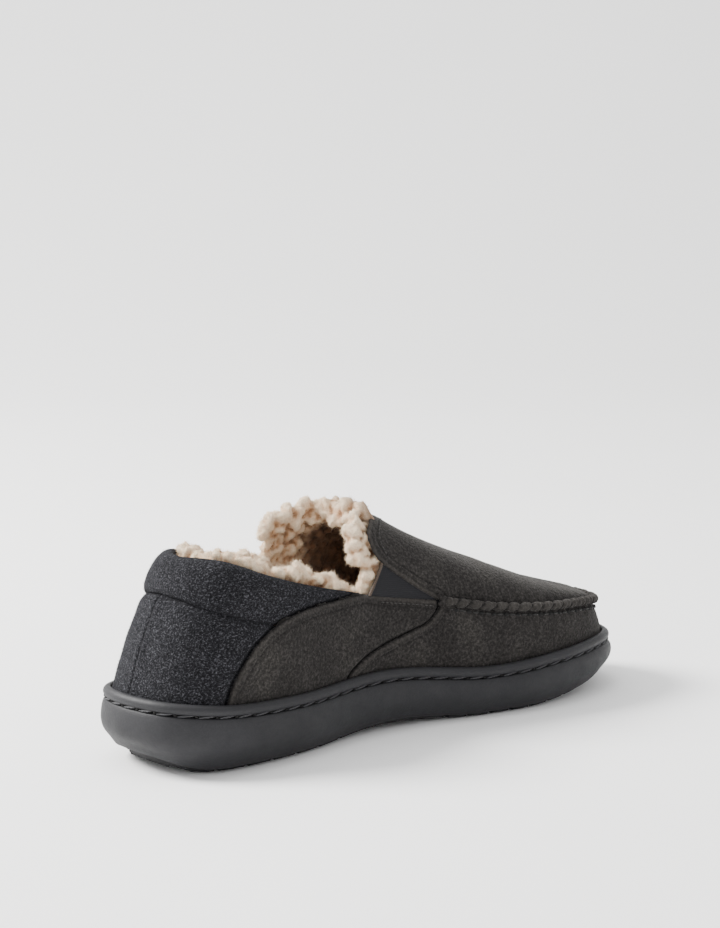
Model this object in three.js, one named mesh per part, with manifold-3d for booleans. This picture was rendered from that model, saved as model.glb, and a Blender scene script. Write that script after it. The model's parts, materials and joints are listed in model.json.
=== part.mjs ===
// A moccasin house slipper for a left foot: a stitched cup sole, a suede and wool felt upper with elastic
// gores, and a curly fleece lining. Millimetres, +X towards the toe, +Z up, the medial side at -Y.
import * as THREE from "three";
import { mergeVertices } from "three/addons/utils/BufferGeometryUtils.js";
import Module from "manifold-3d";

const wasm = await Module();
wasm.setup();

// ---- Driving dimensions ----
const soleLength = 302; // heel to toe of the outline at its widest level
const soleWidth = 109; // across the ball of the foot
const upperHeight = 94.5; // top of the collar at the back of the heel
const treadThick = 3.5;
const treadGrooveDepth = 1.8;
const treadGrooveWide = 3.2;
const rimInset = 2.0; // of the cup's rim from the widest outline
const weltHeight = 5.6;
const weltInset = 1.6;
const weltLip = 0.6; // how far the welt stands above the line where the upper leaves it
const upperInset = 5.5; // of the upper's skin where it leaves the sole
const clearance = 0.3; // between neighbouring pieces
const seamGap = 0.5; // between two panels sewn edge to edge
const layerGap = 0.5; // between the layers of the upper
const marginUp = 2.4; // of the upper's lower edge above the cup's floor
const upperThick = 2; // suede and wool felt with their backing
const goreThick = 1.2;
const interThick = 1.4; // heel counter and collar foam
const fleeceThick = 6;
const fleeceStand = 5; // how far the fleece stands above the collar
const boardThick = 1.5;
const foamThick = 4.5;
const sockThick = 5;
const bedInset = upperInset + upperThick + interThick + fleeceThick + 3 * layerGap; // of the insole layers
const ridgeRadius = 2.3; // the gathered seam round the apron
const threadRadius = 0.65;
const collarBulge = 4;
const loopSteps = 72; // points round each closed sole loop
const loopCrowd = 0.4; // how far they are drawn together at the heel and toe
const toeCrowd = 0.45; // the same for the panels that go round the toe

// ---- Curves ----
// Every closed curve runs once round the slipper: share 0 is the back of the heel, 0 to 0.5 the medial side,
// 0.5 the toe and 0.5 to 1 the lateral side.
const lengthScale = soleLength / 302;
const widthScale = soleWidth / 109;
const heightScale = upperHeight / 94.5;

// share, x from the heel, y
const planKnots = [
  [0.0, 0, 1],
  [0.04, 7, -24],
  [0.085, 30, -38.5],
  [0.15, 72, -40],
  [0.22, 118, -33],
  [0.28, 155, -35.5],
  [0.34, 192, -45.5],
  [0.39, 226, -51.5],
  [0.44, 264, -47.5],
  [0.475, 291, -33],
  [0.5, 302, -10],
  [0.53, 297, 14],
  [0.565, 275, 36.5],
  [0.61, 236, 52],
  [0.66, 200, 57],
  [0.72, 158, 52.5],
  [0.78, 115, 46],
  [0.85, 72, 42],
  [0.915, 30, 38.5],
  [0.96, 7, 25],
].map(([s, x, y]) => [s, x * lengthScale, y * widthScale]);

// share, x, y, height: the collar's top edge behind, the apron seam in front
const wallTopKnots = [
  [0.0, 35, 1, 94.5],
  [0.04, 38, -11.5, 95],
  [0.085, 47, -20, 93],
  [0.15, 71, -24, 83.5],
  [0.2, 103, -21.5, 73.5],
  [0.245, 134, -22, 66],
  [0.28, 156.5, -25.5, 62],
  [0.31, 176, -30.5, 58.5],
  [0.35, 201, -37, 53.5],
  [0.4, 233, -41, 49.5],
  [0.45, 268, -35, 46],
  [0.475, 282, -26, 43.5],
  [0.5, 289, -9, 42.5],
  [0.53, 285.5, 9, 43],
  [0.565, 267, 27, 45.5],
  [0.62, 226, 43, 50],
  [0.67, 193.5, 46.5, 55],
  [0.71, 166.5, 43.5, 60],
  [0.755, 134, 39, 66],
  [0.8, 103.5, 32.5, 74],
  [0.85, 73.5, 26, 83.5],
  [0.915, 48, 20.5, 93],
  [0.96, 38, 12.5, 95],
].map(([s, x, y, z]) => [s, x * lengthScale, y * widthScale, z * heightScale]);

const alongLength = (rows) => rows.map(([x, ...v]) => [x * lengthScale, ...v]);
// x, height of the cup's rim
const rimKnots = alongLength([
  [0, 30], [40, 26], [90, 24], [140, 24.5], [190, 19.5], [240, 21.5], [275, 22.5], [302, 21],
]);
// x, height of the tread's underside: flat under the heel and the ball, raised at the waist, back and toe
const groundKnots = alongLength([
  [0, 6], [14, 2], [30, 0], [95, 0], [140, 3], [185, 0], [218, 0], [250, 2], [275, 4.5], [302, 9],
]);
// x, height of the cup's floor
const floorKnots = alongLength([
  [0, 15], [40, 12.5], [90, 11], [140, 11.5], [190, 6.8], [240, 8.5], [275, 11], [302, 15],
]);
// x, inset of the tread's edge from the outline
const treadInsetKnots = alongLength([
  [0, 12], [60, 9], [140, 6], [220, 7], [302, 9],
]);
// x, y, height of the ridge over the instep
const ridgeKnots = alongLength([
  [120, 9, 109.5], [140, 9, 104.5], [157, 8.5, 98.5], [180, 7, 87], [200, 5, 78], [215, 4, 72],
  [232, 2, 65], [250, 0, 57.5], [265, -4, 52], [279, -7, 48.5],
]).map(([x, y, z]) => [x, y * widthScale, z * heightScale]);
// share on the medial side, x of the ridge point that it reaches
const ridgeShareKnots = [
  [0.2, 122], [0.225, 134], [0.27, 152], [0.31, 173], [0.36, 202],
  [0.41, 230], [0.455, 254], [0.485, 266], [0.5, 269],
].map(([s, x]) => [s, x * lengthScale]);

const hermite = (u, a, b, ma, mb) =>
  (2 * u ** 3 - 3 * u ** 2 + 1) * a +
  (u ** 3 - 2 * u ** 2 + u) * ma +
  (3 * u ** 2 - 2 * u ** 3) * b +
  (u ** 3 - u ** 2) * mb;

// A smooth closed curve through rows of [share, value, ...].
function loopCurve(knots, share) {
  const n = knots.length;
  const s = share - Math.floor(share);
  let i = n - 1;
  while (i > 0 && knots[i][0] > s) i--;
  const row = (j) => knots[((j % n) + n) % n];
  const at = (j) => row(j)[0] + Math.floor(j / n);
  const step = at(i + 1) - at(i);
  const u = (s - at(i)) / step;
  return row(i).slice(1).map((v, c) => {
    const value = (j) => row(j)[c + 1];
    const slopeA = ((value(i + 1) - value(i - 1)) / (at(i + 1) - at(i - 1))) * step;
    const slopeB = ((value(i + 2) - value(i)) / (at(i + 2) - at(i))) * step;
    return hermite(u, v, value(i + 1), slopeA, slopeB);
  });
}

// A smooth open curve through rows of [x, value, ...], held at its ends.
function lineCurve(knots, where) {
  const n = knots.length;
  const x = Math.min(Math.max(where, knots[0][0]), knots[n - 1][0]);
  let i = 0;
  while (i < n - 2 && knots[i + 1][0] < x) i++;
  const step = knots[i + 1][0] - knots[i][0];
  const u = (x - knots[i][0]) / step;
  const slope = (j, c) => {
    const a = Math.max(j - 1, 0);
    const b = Math.min(j + 1, n - 1);
    return ((knots[b][c] - knots[a][c]) / (knots[b][0] - knots[a][0])) * step;
  };
  const ahead = knots[i + 1];
  return knots[i].slice(1).map((v, c) => hermite(u, v, ahead[c + 1], slope(i, c + 1), slope(i + 1, c + 1)));
}

// A point of the outline, moved inwards by inset.
function plan(share, inset = 0) {
  const [x, y] = loopCurve(planKnots, share);
  const [ax, ay] = loopCurve(planKnots, share - 1e-4);
  const [bx, by] = loopCurve(planKnots, share + 1e-4);
  const length = Math.hypot(bx - ax, by - ay);
  return [x - ((by - ay) / length) * inset, y + ((bx - ax) / length) * inset];
}

const heightAt = (knots, share) => lineCurve(knots, plan(share)[0])[0];
const rimHeight = (share) => heightAt(rimKnots, share);
const loopPoint = (share, inset, z) => new THREE.Vector3(...plan(share, inset), z);

// ---- The upper's outer skin ----
// level 0 is where the upper leaves the sole, 1 the collar's edge or the apron seam, 2 the ridge over the
// instep.
const floorHeight = (share) => heightAt(floorKnots, share);
const weltTop = (share) => rimHeight(share) + weltHeight - weltLip;
// Each handle of the wall's curve: how far up the wall, and how far it swells out as a share of the rise.
const wallHandles = [[0.31, 0.05], [0.68, 0.07]];
const wallTop = (share) => new THREE.Vector3(...loopCurve(wallTopKnots, share));
function wallPoint(share, level) {
  const foot = loopPoint(share, upperInset, weltTop(share));
  if (level < 0) return foot.setZ(foot.z + level * (foot.z - floorHeight(share) - marginUp));
  const top = wallTop(share);
  const rise = top.z - foot.z;
  const outwards = loopPoint(share, 0, 0).sub(loopPoint(share, 1, 0));
  const handle = ([along, bulge]) => {
    const point = foot.clone().lerp(top, along).addScaledVector(outwards, bulge * rise);
    return point.setZ(foot.z + rise * (along + 0.03));
  };
  const curve = new THREE.CubicBezierCurve3(foot, ...wallHandles.map(handle), top);
  if (level <= 1) return curve.getPoint(level);
  const onwards = curve.getPoint(1).sub(curve.getPoint(0.96)).normalize();
  return top.clone().addScaledVector(onwards, (level - 1) * rise);
}
function ridgePoint(share) {
  const [x] = lineCurve(ridgeShareKnots, Math.min(share, 1 - share));
  const [y, z] = lineCurve(ridgeKnots, x);
  return new THREE.Vector3(x, y, z);
}
// The ridge's direction, as a step of 1 mm along x.
function ridgeSlope(x) {
  const [[backY, backZ], [aheadY, aheadZ]] = [-1, 1].map((step) => lineCurve(ridgeKnots, x + step));
  return new THREE.Vector3(1, (aheadY - backY) / 2, (aheadZ - backZ) / 2);
}
function instepPoint(share, level) {
  const seam = wallTop(share);
  const ridge = ridgePoint(share);
  const rise = ridge.z - seam.z;
  const square = share > 0.5 ? 0.14 * Math.min(rise / 40, 1) : 0; // the lateral side is fuller
  const low = seam.clone().lerp(ridge, 0.06).setZ(seam.z + rise * (0.62 + square));
  // The last handle lies in the ridge's own tangent plane, so that both sides meet without a crease.
  const slope = ridgeSlope(ridge.x);
  const along = (seam.x - ridge.x + (seam.y - ridge.y) * slope.y) / (1 + slope.y ** 2);
  const reach = 0.58 + square;
  const high = ridge.clone().lerp(seam, reach).setZ(ridge.z + reach * along * slope.z);
  return new THREE.CubicBezierCurve3(seam, low, high, ridge).getPoint(level - 1);
}
// collarLike is true for the pieces that keep rising along the wall above the collar's edge.
function skinPoint(share, level, collarLike) {
  return level > 1 && !collarLike ? instepPoint(share, Math.min(level, 2)) : wallPoint(share, level);
}
function skinNormal(share, level, collarLike) {
  if (level >= 2 && !collarLike) {
    const slope = ridgeSlope(ridgePoint(share).x).normalize();
    return new THREE.Vector3(0, 0, 1).addScaledVector(slope, -slope.z).normalize();
  }
  const step = 0.002;
  const rise = 0.02; // wide enough to even out the bend at the apron seam
  const at = (ds, dl) => skinPoint(share + ds, level + dl, collarLike);
  const across = at(step, 0).sub(at(-step, 0));
  const upwards = at(0, rise).sub(at(0, -rise));
  return across.cross(upwards).normalize();
}
// A point at depth below the skin.
function under(share, level, depth, collarLike = false) {
  return skinPoint(share, level, collarLike).addScaledVector(skinNormal(share, level, collarLike), -depth);
}

// ---- Solids ----
function closedGeometry(points, triangles) {
  const geometry = new THREE.BufferGeometry();
  geometry.setAttribute("position", new THREE.Float32BufferAttribute(points.flatMap((p) => p.toArray()), 3));
  geometry.setIndex(triangles);
  return mergeVertices(geometry, 1e-3);
}

// A sheet with a thickness. point(u, v, 0) is its outer face and point(u, v, 1) its inner one. A zipped
// sheet meets itself along its top edge, where u and 1 - u are the same point.
function sheetSolid(point, columns, rows, zipped = false) {
  const points = [];
  const triangles = [];
  const index = (face, i, j) => (face * (rows + 1) + j) * (columns + 1) + i;
  const span = (a, b) => points[a].distanceTo(points[b]);
  for (const face of [0, 1])
    for (let j = 0; j <= rows; j++)
      for (let i = 0; i <= columns; i++) {
        const mirrored = zipped && j === rows && i > columns / 2;
        points.push(point(mirrored ? 1 - i / columns : i / columns, j / rows, face));
      }
  const quad = (a, b, c, d) =>
    span(a, c) <= span(b, d) ? triangles.push(a, b, c, a, c, d) : triangles.push(a, b, d, b, c, d);
  for (let j = 0; j < rows; j++)
    for (let i = 0; i < columns; i++) {
      quad(index(0, i, j), index(0, i + 1, j), index(0, i + 1, j + 1), index(0, i, j + 1));
      quad(index(1, i, j + 1), index(1, i + 1, j + 1), index(1, i + 1, j), index(1, i, j));
    }
  for (let i = 0; i < columns; i++) {
    quad(index(1, i, 0), index(1, i + 1, 0), index(0, i + 1, 0), index(0, i, 0));
    if (!zipped) quad(index(0, i, rows), index(0, i + 1, rows), index(1, i + 1, rows), index(1, i, rows));
  }
  for (let j = 0; j < rows; j++) {
    quad(index(0, 0, j), index(0, 0, j + 1), index(1, 0, j + 1), index(1, 0, j));
    quad(index(1, columns, j), index(1, columns, j + 1), index(0, columns, j + 1), index(0, columns, j));
  }
  return closedGeometry(points, triangles);
}

// Half the clearance beside a seam, measured along the level: a slanting seam needs more.
function sideGap(edge, level, collarLike) {
  const e = 0.01;
  const share = edge(level);
  const onEdge = (at) => skinPoint(edge(at), at, collarLike);
  const along = onEdge(level + e).sub(onEdge(level - e));
  const across = skinPoint(share + e, level, collarLike).sub(skinPoint(share - e, level, collarLike));
  const slant = along.clone().cross(across.normalize()).length() / Math.max(along.length(), e);
  return seamGap / 2 / Math.max(slant, 0.25);
}

// A piece of the upper between two edges, given as shares at each level. rows are its levels from the lowest
// up, so that two pieces sewn together have their corners at the same places, and levelAt bends them to a
// curved edge. crowd draws the columns together in the middle, round the toe. lift(u, v) raises the outer face,
// and gap is what is left open at the lowest and highest row.
function panel({
  from, to, rows, columns, depth, thick, levelAt = (row) => row, zipped = false, collarLike = false,
  crowd = 0, lift = () => 0, gap = seamGap,
}) {
  const last = rows.length - 1;
  const trimmed = (j, share) => {
    const level = levelAt(rows[j], share);
    if (j > 0 && (j < last || zipped)) return level;
    const inner = levelAt(rows[j === 0 ? 1 : last - 1], share);
    const length = skinPoint(share, inner, collarLike).distanceTo(skinPoint(share, level, collarLike));
    return level + ((inner - level) * gap) / 2 / length;
  };
  const place = (u, j) => {
    let level = rows[j];
    for (let pass = 0; pass < 4; pass++) level = trimmed(j, from(level) + (to(level) - from(level)) * u);
    const a = from(level);
    const b = to(level);
    const at = (share) => skinPoint(share, level, collarLike);
    const middle = at((a + b) / 2);
    const long = middle.distanceTo(at(a)) + middle.distanceTo(at(b));
    const gapAt = (edge) => sideGap(edge, level, collarLike) / Math.max(long, 6 * clearance);
    const start = gapAt(from);
    return [a + (b - a) * (start + u * (1 - start - gapAt(to))), level];
  };
  return sheetSolid(
    (u, v, face) => {
      const crowded = u + (crowd * Math.sin(2 * Math.PI * u)) / (2 * Math.PI);
      const [share, level] = place(crowded, Math.round(v * last));
      return under(share, level, face ? depth + thick : depth - lift(u, v), collarLike);
    },
    columns,
    last,
    zipped,
  );
}

// A stack of closed loops, each a function of the share. An open stack is capped straight across at both
// ends, and a ring joins its last loop to its first. Loops run from the outside bottom up, over and down the
// inside.
function loopSolid(loops, ring = false) {
  const n = loopSteps;
  const shareAt = (i) => i / n - (loopCrowd * Math.sin((4 * Math.PI * i) / n)) / (4 * Math.PI);
  const points = loops.flatMap((loop) => Array.from({ length: n }, (_, i) => loop(shareAt(i))));
  const triangles = [];
  const at = (j, i) => (j % loops.length) * n + (i % n);
  const quad = (a, b, c, d) => triangles.push(a, b, c, a, c, d);
  for (let j = 0; j < loops.length - (ring ? 0 : 1); j++)
    for (let i = 0; i < n; i++) quad(at(j, i), at(j, i + 1), at(j + 1, i + 1), at(j + 1, i));
  if (!ring) {
    const last = loops.length - 1;
    for (let i = 0; i < n / 2; i++) {
      quad(at(0, n - i), at(0, n - i - 1), at(0, i + 1), at(0, i));
      quad(at(last, i), at(last, i + 1), at(last, n - i - 1), at(last, n - i));
    }
  }
  return closedGeometry(points, triangles);
}

function solidFrom(geometry) {
  const bare = new THREE.BufferGeometry().setAttribute("position", geometry.getAttribute("position"));
  bare.setIndex(geometry.index);
  const merged = mergeVertices(bare, 1e-3);
  return new wasm.Manifold(
    new wasm.Mesh({
      numProp: 3,
      vertProperties: merged.attributes.position.array,
      triVerts: new Uint32Array(merged.index.array),
    }),
  );
}
function geometryFrom(solid) {
  const mesh = solid.getMesh();
  const geometry = new THREE.BufferGeometry();
  geometry.setAttribute("position", new THREE.BufferAttribute(mesh.vertProperties, 3));
  geometry.setIndex(new THREE.BufferAttribute(mesh.triVerts, 1));
  return geometry;
}

// ---- Sole unit ----
const groundHeight = (share) => Math.max(heightAt(groundKnots, share), 0);
const treadInset = (share) => heightAt(treadInsetKnots, share);
const treadTop = (share) => groundHeight(share) + treadThick;

function treadSolid() {
  const plate = solidFrom(
    loopSolid([
      (s) => loopPoint(s, treadInset(s) + 1, groundHeight(s)),
      (s) => loopPoint(s, treadInset(s), groundHeight(s) + 0.9),
      (s) => loopPoint(s, treadInset(s) - 0.9, treadTop(s)),
    ]),
  );
  // Straight grooves run across the underside, closer together under the ball than under the heel.
  const grooves = [];
  const cutAcross = (x) => {
    const z = lineCurve(groundKnots, x * lengthScale)[0];
    const bar = new THREE.BoxGeometry(treadGrooveWide, 2 * soleWidth, 2 * treadGrooveDepth + 8);
    bar.translate(x * lengthScale, 0, z + treadGrooveDepth - (treadGrooveDepth + 4));
    bar.deleteAttribute("normal");
    bar.deleteAttribute("uv");
    grooves.push(solidFrom(bar));
  };
  for (let x = 18; x <= 108; x += 15) cutAcross(x);
  for (let x = 172; x <= 292; x += 12) cutAcross(x);
  return geometryFrom(grooves.reduce((made, groove) => made.subtract(groove), plate));
}

function cupSolid() {
  const middle = (s, share) => treadTop(s) + (rimHeight(s) - treadTop(s)) * share;
  return loopSolid([
    (s) => loopPoint(s, treadInset(s) - 0.9, treadTop(s) + clearance),
    (s) => loopPoint(s, treadInset(s) * 0.42, middle(s, 0.14)),
    (s) => loopPoint(s, treadInset(s) * 0.1, middle(s, 0.34)),
    (s) => loopPoint(s, 0, middle(s, 0.55)),
    (s) => loopPoint(s, 0.5, middle(s, 0.8)),
    (s) => loopPoint(s, rimInset, rimHeight(s)),
    (s) => loopPoint(s, upperInset - 0.4, rimHeight(s)),
    (s) => loopPoint(s, upperInset - 0.4, floorHeight(s) + 2),
    (s) => loopPoint(s, upperInset + 1.6, floorHeight(s)),
  ]);
}

function weltSolid() {
  const section = [
    [rimInset + 1.5, clearance],
    [weltInset, 2],
    [weltInset - 0.2, 3.6],
    [weltInset + 0.7, weltHeight - 0.7],
    [weltInset + 1.9, weltHeight],
    [upperInset - clearance - 0.6, weltHeight - 0.3],
    [upperInset - clearance - 0.3, clearance],
  ];
  return loopSolid(section.map(([inset, z]) => (s) => loopPoint(s, inset, rimHeight(s) + z)), true);
}

// A round thread that follows a closed loop at an inset and a height above the rim.
function loopThread(inset, up, radius, sides) {
  const section = Array.from({ length: sides }, (_, k) => (2 * Math.PI * (k + 0.5)) / sides);
  const around = (a) => (s) =>
    loopPoint(s, inset - radius * Math.sin(a), rimHeight(s) + up - radius * Math.cos(a));
  return loopSolid(section.map(around), true);
}

// One flat layer of the insole stack, its underside at height up above the cup's floor.
function bedLayer(up, thick) {
  const base = (s) => floorHeight(s) + up;
  return loopSolid([
    (s) => loopPoint(s, bedInset + thick * 0.3, base(s)),
    (s) => loopPoint(s, bedInset, base(s) + thick * 0.3),
    (s) => loopPoint(s, bedInset, base(s) + thick * 0.7),
    (s) => loopPoint(s, bedInset + thick * 0.3, base(s) + thick),
  ]);
}

// ---- Seam lines of the upper, as shares at each level ----
const medial = (share) => share;
const lateral = (share) => 1 - share;
const shareLine = (rows) => (level) => lineCurve(rows, level)[0];
// Where the wool ends and the quarter's arched edge begins.
const archLine = shareLine([
  [-1, 0.088], [0, 0.091], [0.15, 0.095], [0.3, 0.105], [0.45, 0.12],
  [0.6, 0.144], [0.74, 0.175], [0.86, 0.205], [1, 0.236],
]);
// Where the quarter ends and the toe wall begins.
const toeWallLine = shareLine([
  [-1, 0.205], [0, 0.213], [0.15, 0.225], [0.3, 0.244], [0.45, 0.267],
  [0.62, 0.288], [0.86, 0.3], [1, 0.302],
]);
// The crease under the collar, as a level at each share from the back of the heel.
const creaseEnd = 0.62; // its level where it meets the quarter
const creaseKnots = [
  [0, 0.74], [0.03, 0.715], [0.055, 0.68], [0.085, 0.65], [0.12, 0.625], [0.15, creaseEnd], [0.25, creaseEnd],
];
const creaseLevel = (share) => lineCurve(creaseKnots, Math.abs(share - Math.round(share)))[0];
const liningMedial = 0.235; // share where the heel lining meets the vamp lining
const liningLateral = 0.22;
const liningJoin = 0.6 * fleeceThick; // the gap between the two front linings, inside the apron seam
const fleeceOverhang = 0.018; // how far the fleece shows behind the apron's edge, as a share
const gorePeak = 1.23; // level of the gore's top corner
const goreTip = 0.3; // share of the gore's front corner
// The apron's edges: along the gore, then across the instep.
const apronRear = 0.276; // share where both edges meet over the instep
const apronMedial = shareLine([
  [1, goreTip], [1.11, 0.278], [gorePeak, 0.258], [1.32, 0.25], [1.5, 0.249],
  [1.7, 0.26], [1.87, 0.273], [1.95, apronRear], [2, apronRear],
]);
const apronLateral = shareLine([
  [1, goreTip], [1.11, 0.266], [gorePeak, 0.234], [1.32, 0.23], [1.5, 0.237],
  [1.7, 0.255], [1.87, 0.272], [1.95, apronRear], [2, apronRear],
]);
const goreRearMedial = shareLine([[1, 0.243], [gorePeak, 0.2565]]);
const goreRearLateral = shareLine([[1, 0.222], [gorePeak, 0.2325]]);

// ---- Assembly ----
const material = (color, roughness) => new THREE.MeshStandardMaterial({ color, roughness, metalness: 0 });
const looks = {
  rubber: material(0x3c3c3f, 0.75),
  tread: material(0x2a2a2c, 0.85),
  suede: material(0x45433f, 0.95),
  wool: material(0x37383d, 1),
  elastic: material(0x26272d, 0.9),
  thread: material(0x4a4844, 0.8),
  fleece: material(0xd9c3a9, 1),
  foam: material(0x8f8c86, 0.9),
  board: material(0x9a8465, 0.9),
};
const slipper = new THREE.Group();
function add(name, look, geometry) {
  const mesh = new THREE.Mesh(geometry, looks[look].clone());
  mesh.name = name;
  slipper.add(mesh);
}
const constant = (value) => () => value;
const heelRows = [-1, 0, 0.15, 0.3, 0.45, creaseEnd];
const collarRows = [creaseEnd, 0.68, 0.74, 0.8, 0.86, 0.93, 1];
const wallRows = [...heelRows, 0.74, 0.86, 1];
const instepRows = [1, 1.08, 1.16, 1.25, 1.37, 1.5, 1.65, 1.8, 1.9, 2];

function addSoleUnit() {
  add("outsole_tread", "tread", treadSolid());
  add("midsole_cup", "rubber", cupSolid());
  add("welt", "rubber", weltSolid());
  add("welt_stitch", "thread", loopThread(rimInset - 0.2, 0.75, threadRadius - 0.1, 4));
  add("insole_board", "board", bedLayer(clearance, boardThick));
  add("footbed_foam", "foam", bedLayer(boardThick + 2 * clearance, foamThick));
  add("sock_liner", "fleece", bedLayer(boardThick + foamThick + 3 * clearance, sockThick));
}

function addSide(side, mirror) {
  const mirrored = (a, b) => ({ from: (v) => 1 - b(v), to: (v) => 1 - a(v) });
  const edges = (a, b) => (mirror === medial ? { from: a, to: b } : mirrored(a, b));
  const apronEdge = mirror === medial ? apronMedial : apronLateral;
  const goreRear = mirror === medial ? goreRearMedial : goreRearLateral;
  const underCrease = (row, share) => (row < 0 ? row : (row / creaseEnd) * creaseLevel(share));
  add(`heel_panel_${side}`, "wool", panel({
    ...edges(constant(0), archLine), rows: heelRows, levelAt: underCrease, columns: 11, depth: 0,
    thick: upperThick,
  }));
  add(`quarter_${side}`, "suede", panel({
    ...edges(archLine, toeWallLine), rows: wallRows, columns: 9, depth: 0, thick: upperThick,
  }));
  add(`gore_${side}`, "elastic", panel({
    ...edges(goreRear, apronEdge), rows: [1, 1.08, 1.16, gorePeak], columns: 6, depth: 0.4, thick: goreThick,
  }));
}

function addUpper() {
  addSide("medial", medial);
  addSide("lateral", lateral);
  const overCrease = (row, share) => {
    const crease = creaseLevel(share);
    return crease + ((1 - crease) * (row - creaseEnd)) / (1 - creaseEnd);
  };
  add("collar", "wool", panel({
    from: (v) => -archLine(v), to: archLine, rows: collarRows, levelAt: overCrease, columns: 30, depth: 0,
    thick: upperThick, collarLike: true,
    lift: (u, v) => collarBulge * Math.sin(Math.PI * v) * Math.sin(Math.PI * u) ** 0.4,
  }));
  add("toe_wall", "suede", panel({
    from: toeWallLine, to: (v) => 1 - toeWallLine(v), rows: wallRows, columns: 40, depth: 0,
    thick: upperThick, crowd: toeCrowd,
  }));
  add("apron", "suede", panel({
    from: apronMedial, to: (v) => 1 - apronLateral(v), rows: instepRows, columns: 40, depth: 0,
    thick: upperThick, zipped: true, crowd: toeCrowd,
  }));
}

// The gathered ridge between the apron and the toe wall, and the thread that runs below it. drop is the
// distance below the seam, and ends the share where the tube starts.
function seamTube(drop, radius, sides, ends) {
  const steps = 48;
  const alongSeam = (i) => {
    const share = ends + ((1 - 2 * ends) * i) / steps;
    return under(share, 1 - drop / (wallTop(share).z - weltTop(share)), -radius - clearance);
  };
  const path = new THREE.CatmullRomCurve3(Array.from({ length: steps + 1 }, (_, i) => alongSeam(i)));
  const section = new THREE.Shape(
    Array.from({ length: sides }, (_, k) => {
      const a = (2 * Math.PI * k) / sides;
      return new THREE.Vector2(radius * Math.cos(a), radius * Math.sin(a));
    }),
  );
  const tube = new THREE.ExtrudeGeometry(section, { extrudePath: path, steps, bevelEnabled: false });
  tube.deleteAttribute("normal");
  tube.deleteAttribute("uv");
  return mergeVertices(tube, 1e-3);
}
function addSeam() {
  const ridgeDrop = 0.7;
  const threadDrop = ridgeDrop + ridgeRadius + threadRadius + 3 * clearance;
  add("moc_seam_ridge", "suede", seamTube(ridgeDrop, ridgeRadius, 8, goreTip + 0.004));
  add("moc_seam_thread", "thread", seamTube(threadDrop, threadRadius, 5, goreTip + 0.008));
}

function addInside() {
  const interDepth = upperThick + layerGap;
  const fleeceDepth = interDepth + interThick + layerGap;
  add("heel_counter", "board", panel({
    from: constant(-0.15), to: constant(0.15), rows: [-0.4, 0, 0.15, 0.3, 0.45, 0.6], columns: 26,
    depth: interDepth, thick: interThick,
  }));
  add("collar_foam", "foam", panel({
    from: constant(-0.17), to: constant(0.17), rows: [0.64, 0.74, 0.86, 0.96], columns: 24, depth: interDepth,
    thick: interThick, collarLike: true,
  }));
  // The fleece stands above the collar, less and less towards the gores.
  const stand = (share) => {
    const end = share < 0 ? liningLateral : liningMedial;
    const rise = fleeceStand * Math.min(Math.max((end - Math.abs(share)) / 0.03, 0), 1);
    return 1 + rise / (wallTop(share).z - weltTop(share));
  };
  add("lining_heel", "fleece", panel({
    from: constant(-liningLateral), to: constant(liningMedial), rows: wallRows, columns: 32,
    levelAt: (row, share) => (row < 1 ? row : stand(share)), depth: fleeceDepth, thick: fleeceThick,
    collarLike: true,
  }));
  const startMedial = liningMedial + 0.003;
  const startLateral = liningLateral + 0.003;
  add("lining_toe", "fleece", panel({
    from: constant(startMedial), to: constant(1 - startLateral), rows: wallRows, columns: 40,
    depth: interDepth, thick: fleeceThick, crowd: toeCrowd, gap: liningJoin,
  }));
  // The apron's lining starts at the heel lining and runs out to a band behind the apron's edge.
  const rear = (edge, start) => (v) =>
    Math.min(start + Math.max(v - 1, 0) * 0.04, edge(Math.max(v, gorePeak)) - fleeceOverhang);
  add("lining_apron", "fleece", panel({
    from: rear(apronMedial, startMedial), to: (v) => 1 - rear(apronLateral, startLateral)(v),
    rows: instepRows, columns: 40, depth: interDepth, thick: fleeceThick, zipped: true, crowd: toeCrowd,
    gap: liningJoin,
  }));
}

// The origin is under the middle of the sole's outline, on the surface that the slipper stands on.
function centreOfOutline() {
  const box = new THREE.Box2();
  for (let i = 0; i < loopSteps; i++) box.expandByPoint(new THREE.Vector2(...plan(i / loopSteps)));
  return box.getCenter(new THREE.Vector2());
}

addSoleUnit();
addUpper();
addSeam();
addInside();
const centre = centreOfOutline();
slipper.position.set(-centre.x, -centre.y, 0);

export default slipper;
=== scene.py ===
import json
import math
import bpy
import bmesh
import numpy as np
from mathutils import Matrix, Vector
from mathutils.bvhtree import BVHTree

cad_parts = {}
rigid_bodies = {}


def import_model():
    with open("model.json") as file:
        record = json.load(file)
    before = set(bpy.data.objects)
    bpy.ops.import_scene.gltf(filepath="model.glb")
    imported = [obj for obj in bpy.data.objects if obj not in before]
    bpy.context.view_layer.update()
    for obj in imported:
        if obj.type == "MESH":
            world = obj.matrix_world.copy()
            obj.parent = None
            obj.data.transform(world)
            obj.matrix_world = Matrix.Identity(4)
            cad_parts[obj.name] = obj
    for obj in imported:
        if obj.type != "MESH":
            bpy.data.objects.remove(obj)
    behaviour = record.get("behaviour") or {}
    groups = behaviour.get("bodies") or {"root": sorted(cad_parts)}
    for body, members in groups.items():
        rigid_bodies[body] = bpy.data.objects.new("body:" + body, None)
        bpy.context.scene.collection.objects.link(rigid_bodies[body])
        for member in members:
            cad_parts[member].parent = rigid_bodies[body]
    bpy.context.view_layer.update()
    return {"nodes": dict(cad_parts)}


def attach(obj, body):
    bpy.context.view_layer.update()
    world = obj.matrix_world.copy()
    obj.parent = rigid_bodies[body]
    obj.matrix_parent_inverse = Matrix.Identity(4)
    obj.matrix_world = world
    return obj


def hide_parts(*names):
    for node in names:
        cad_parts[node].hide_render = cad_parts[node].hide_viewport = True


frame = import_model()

mm = 0.001

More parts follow.
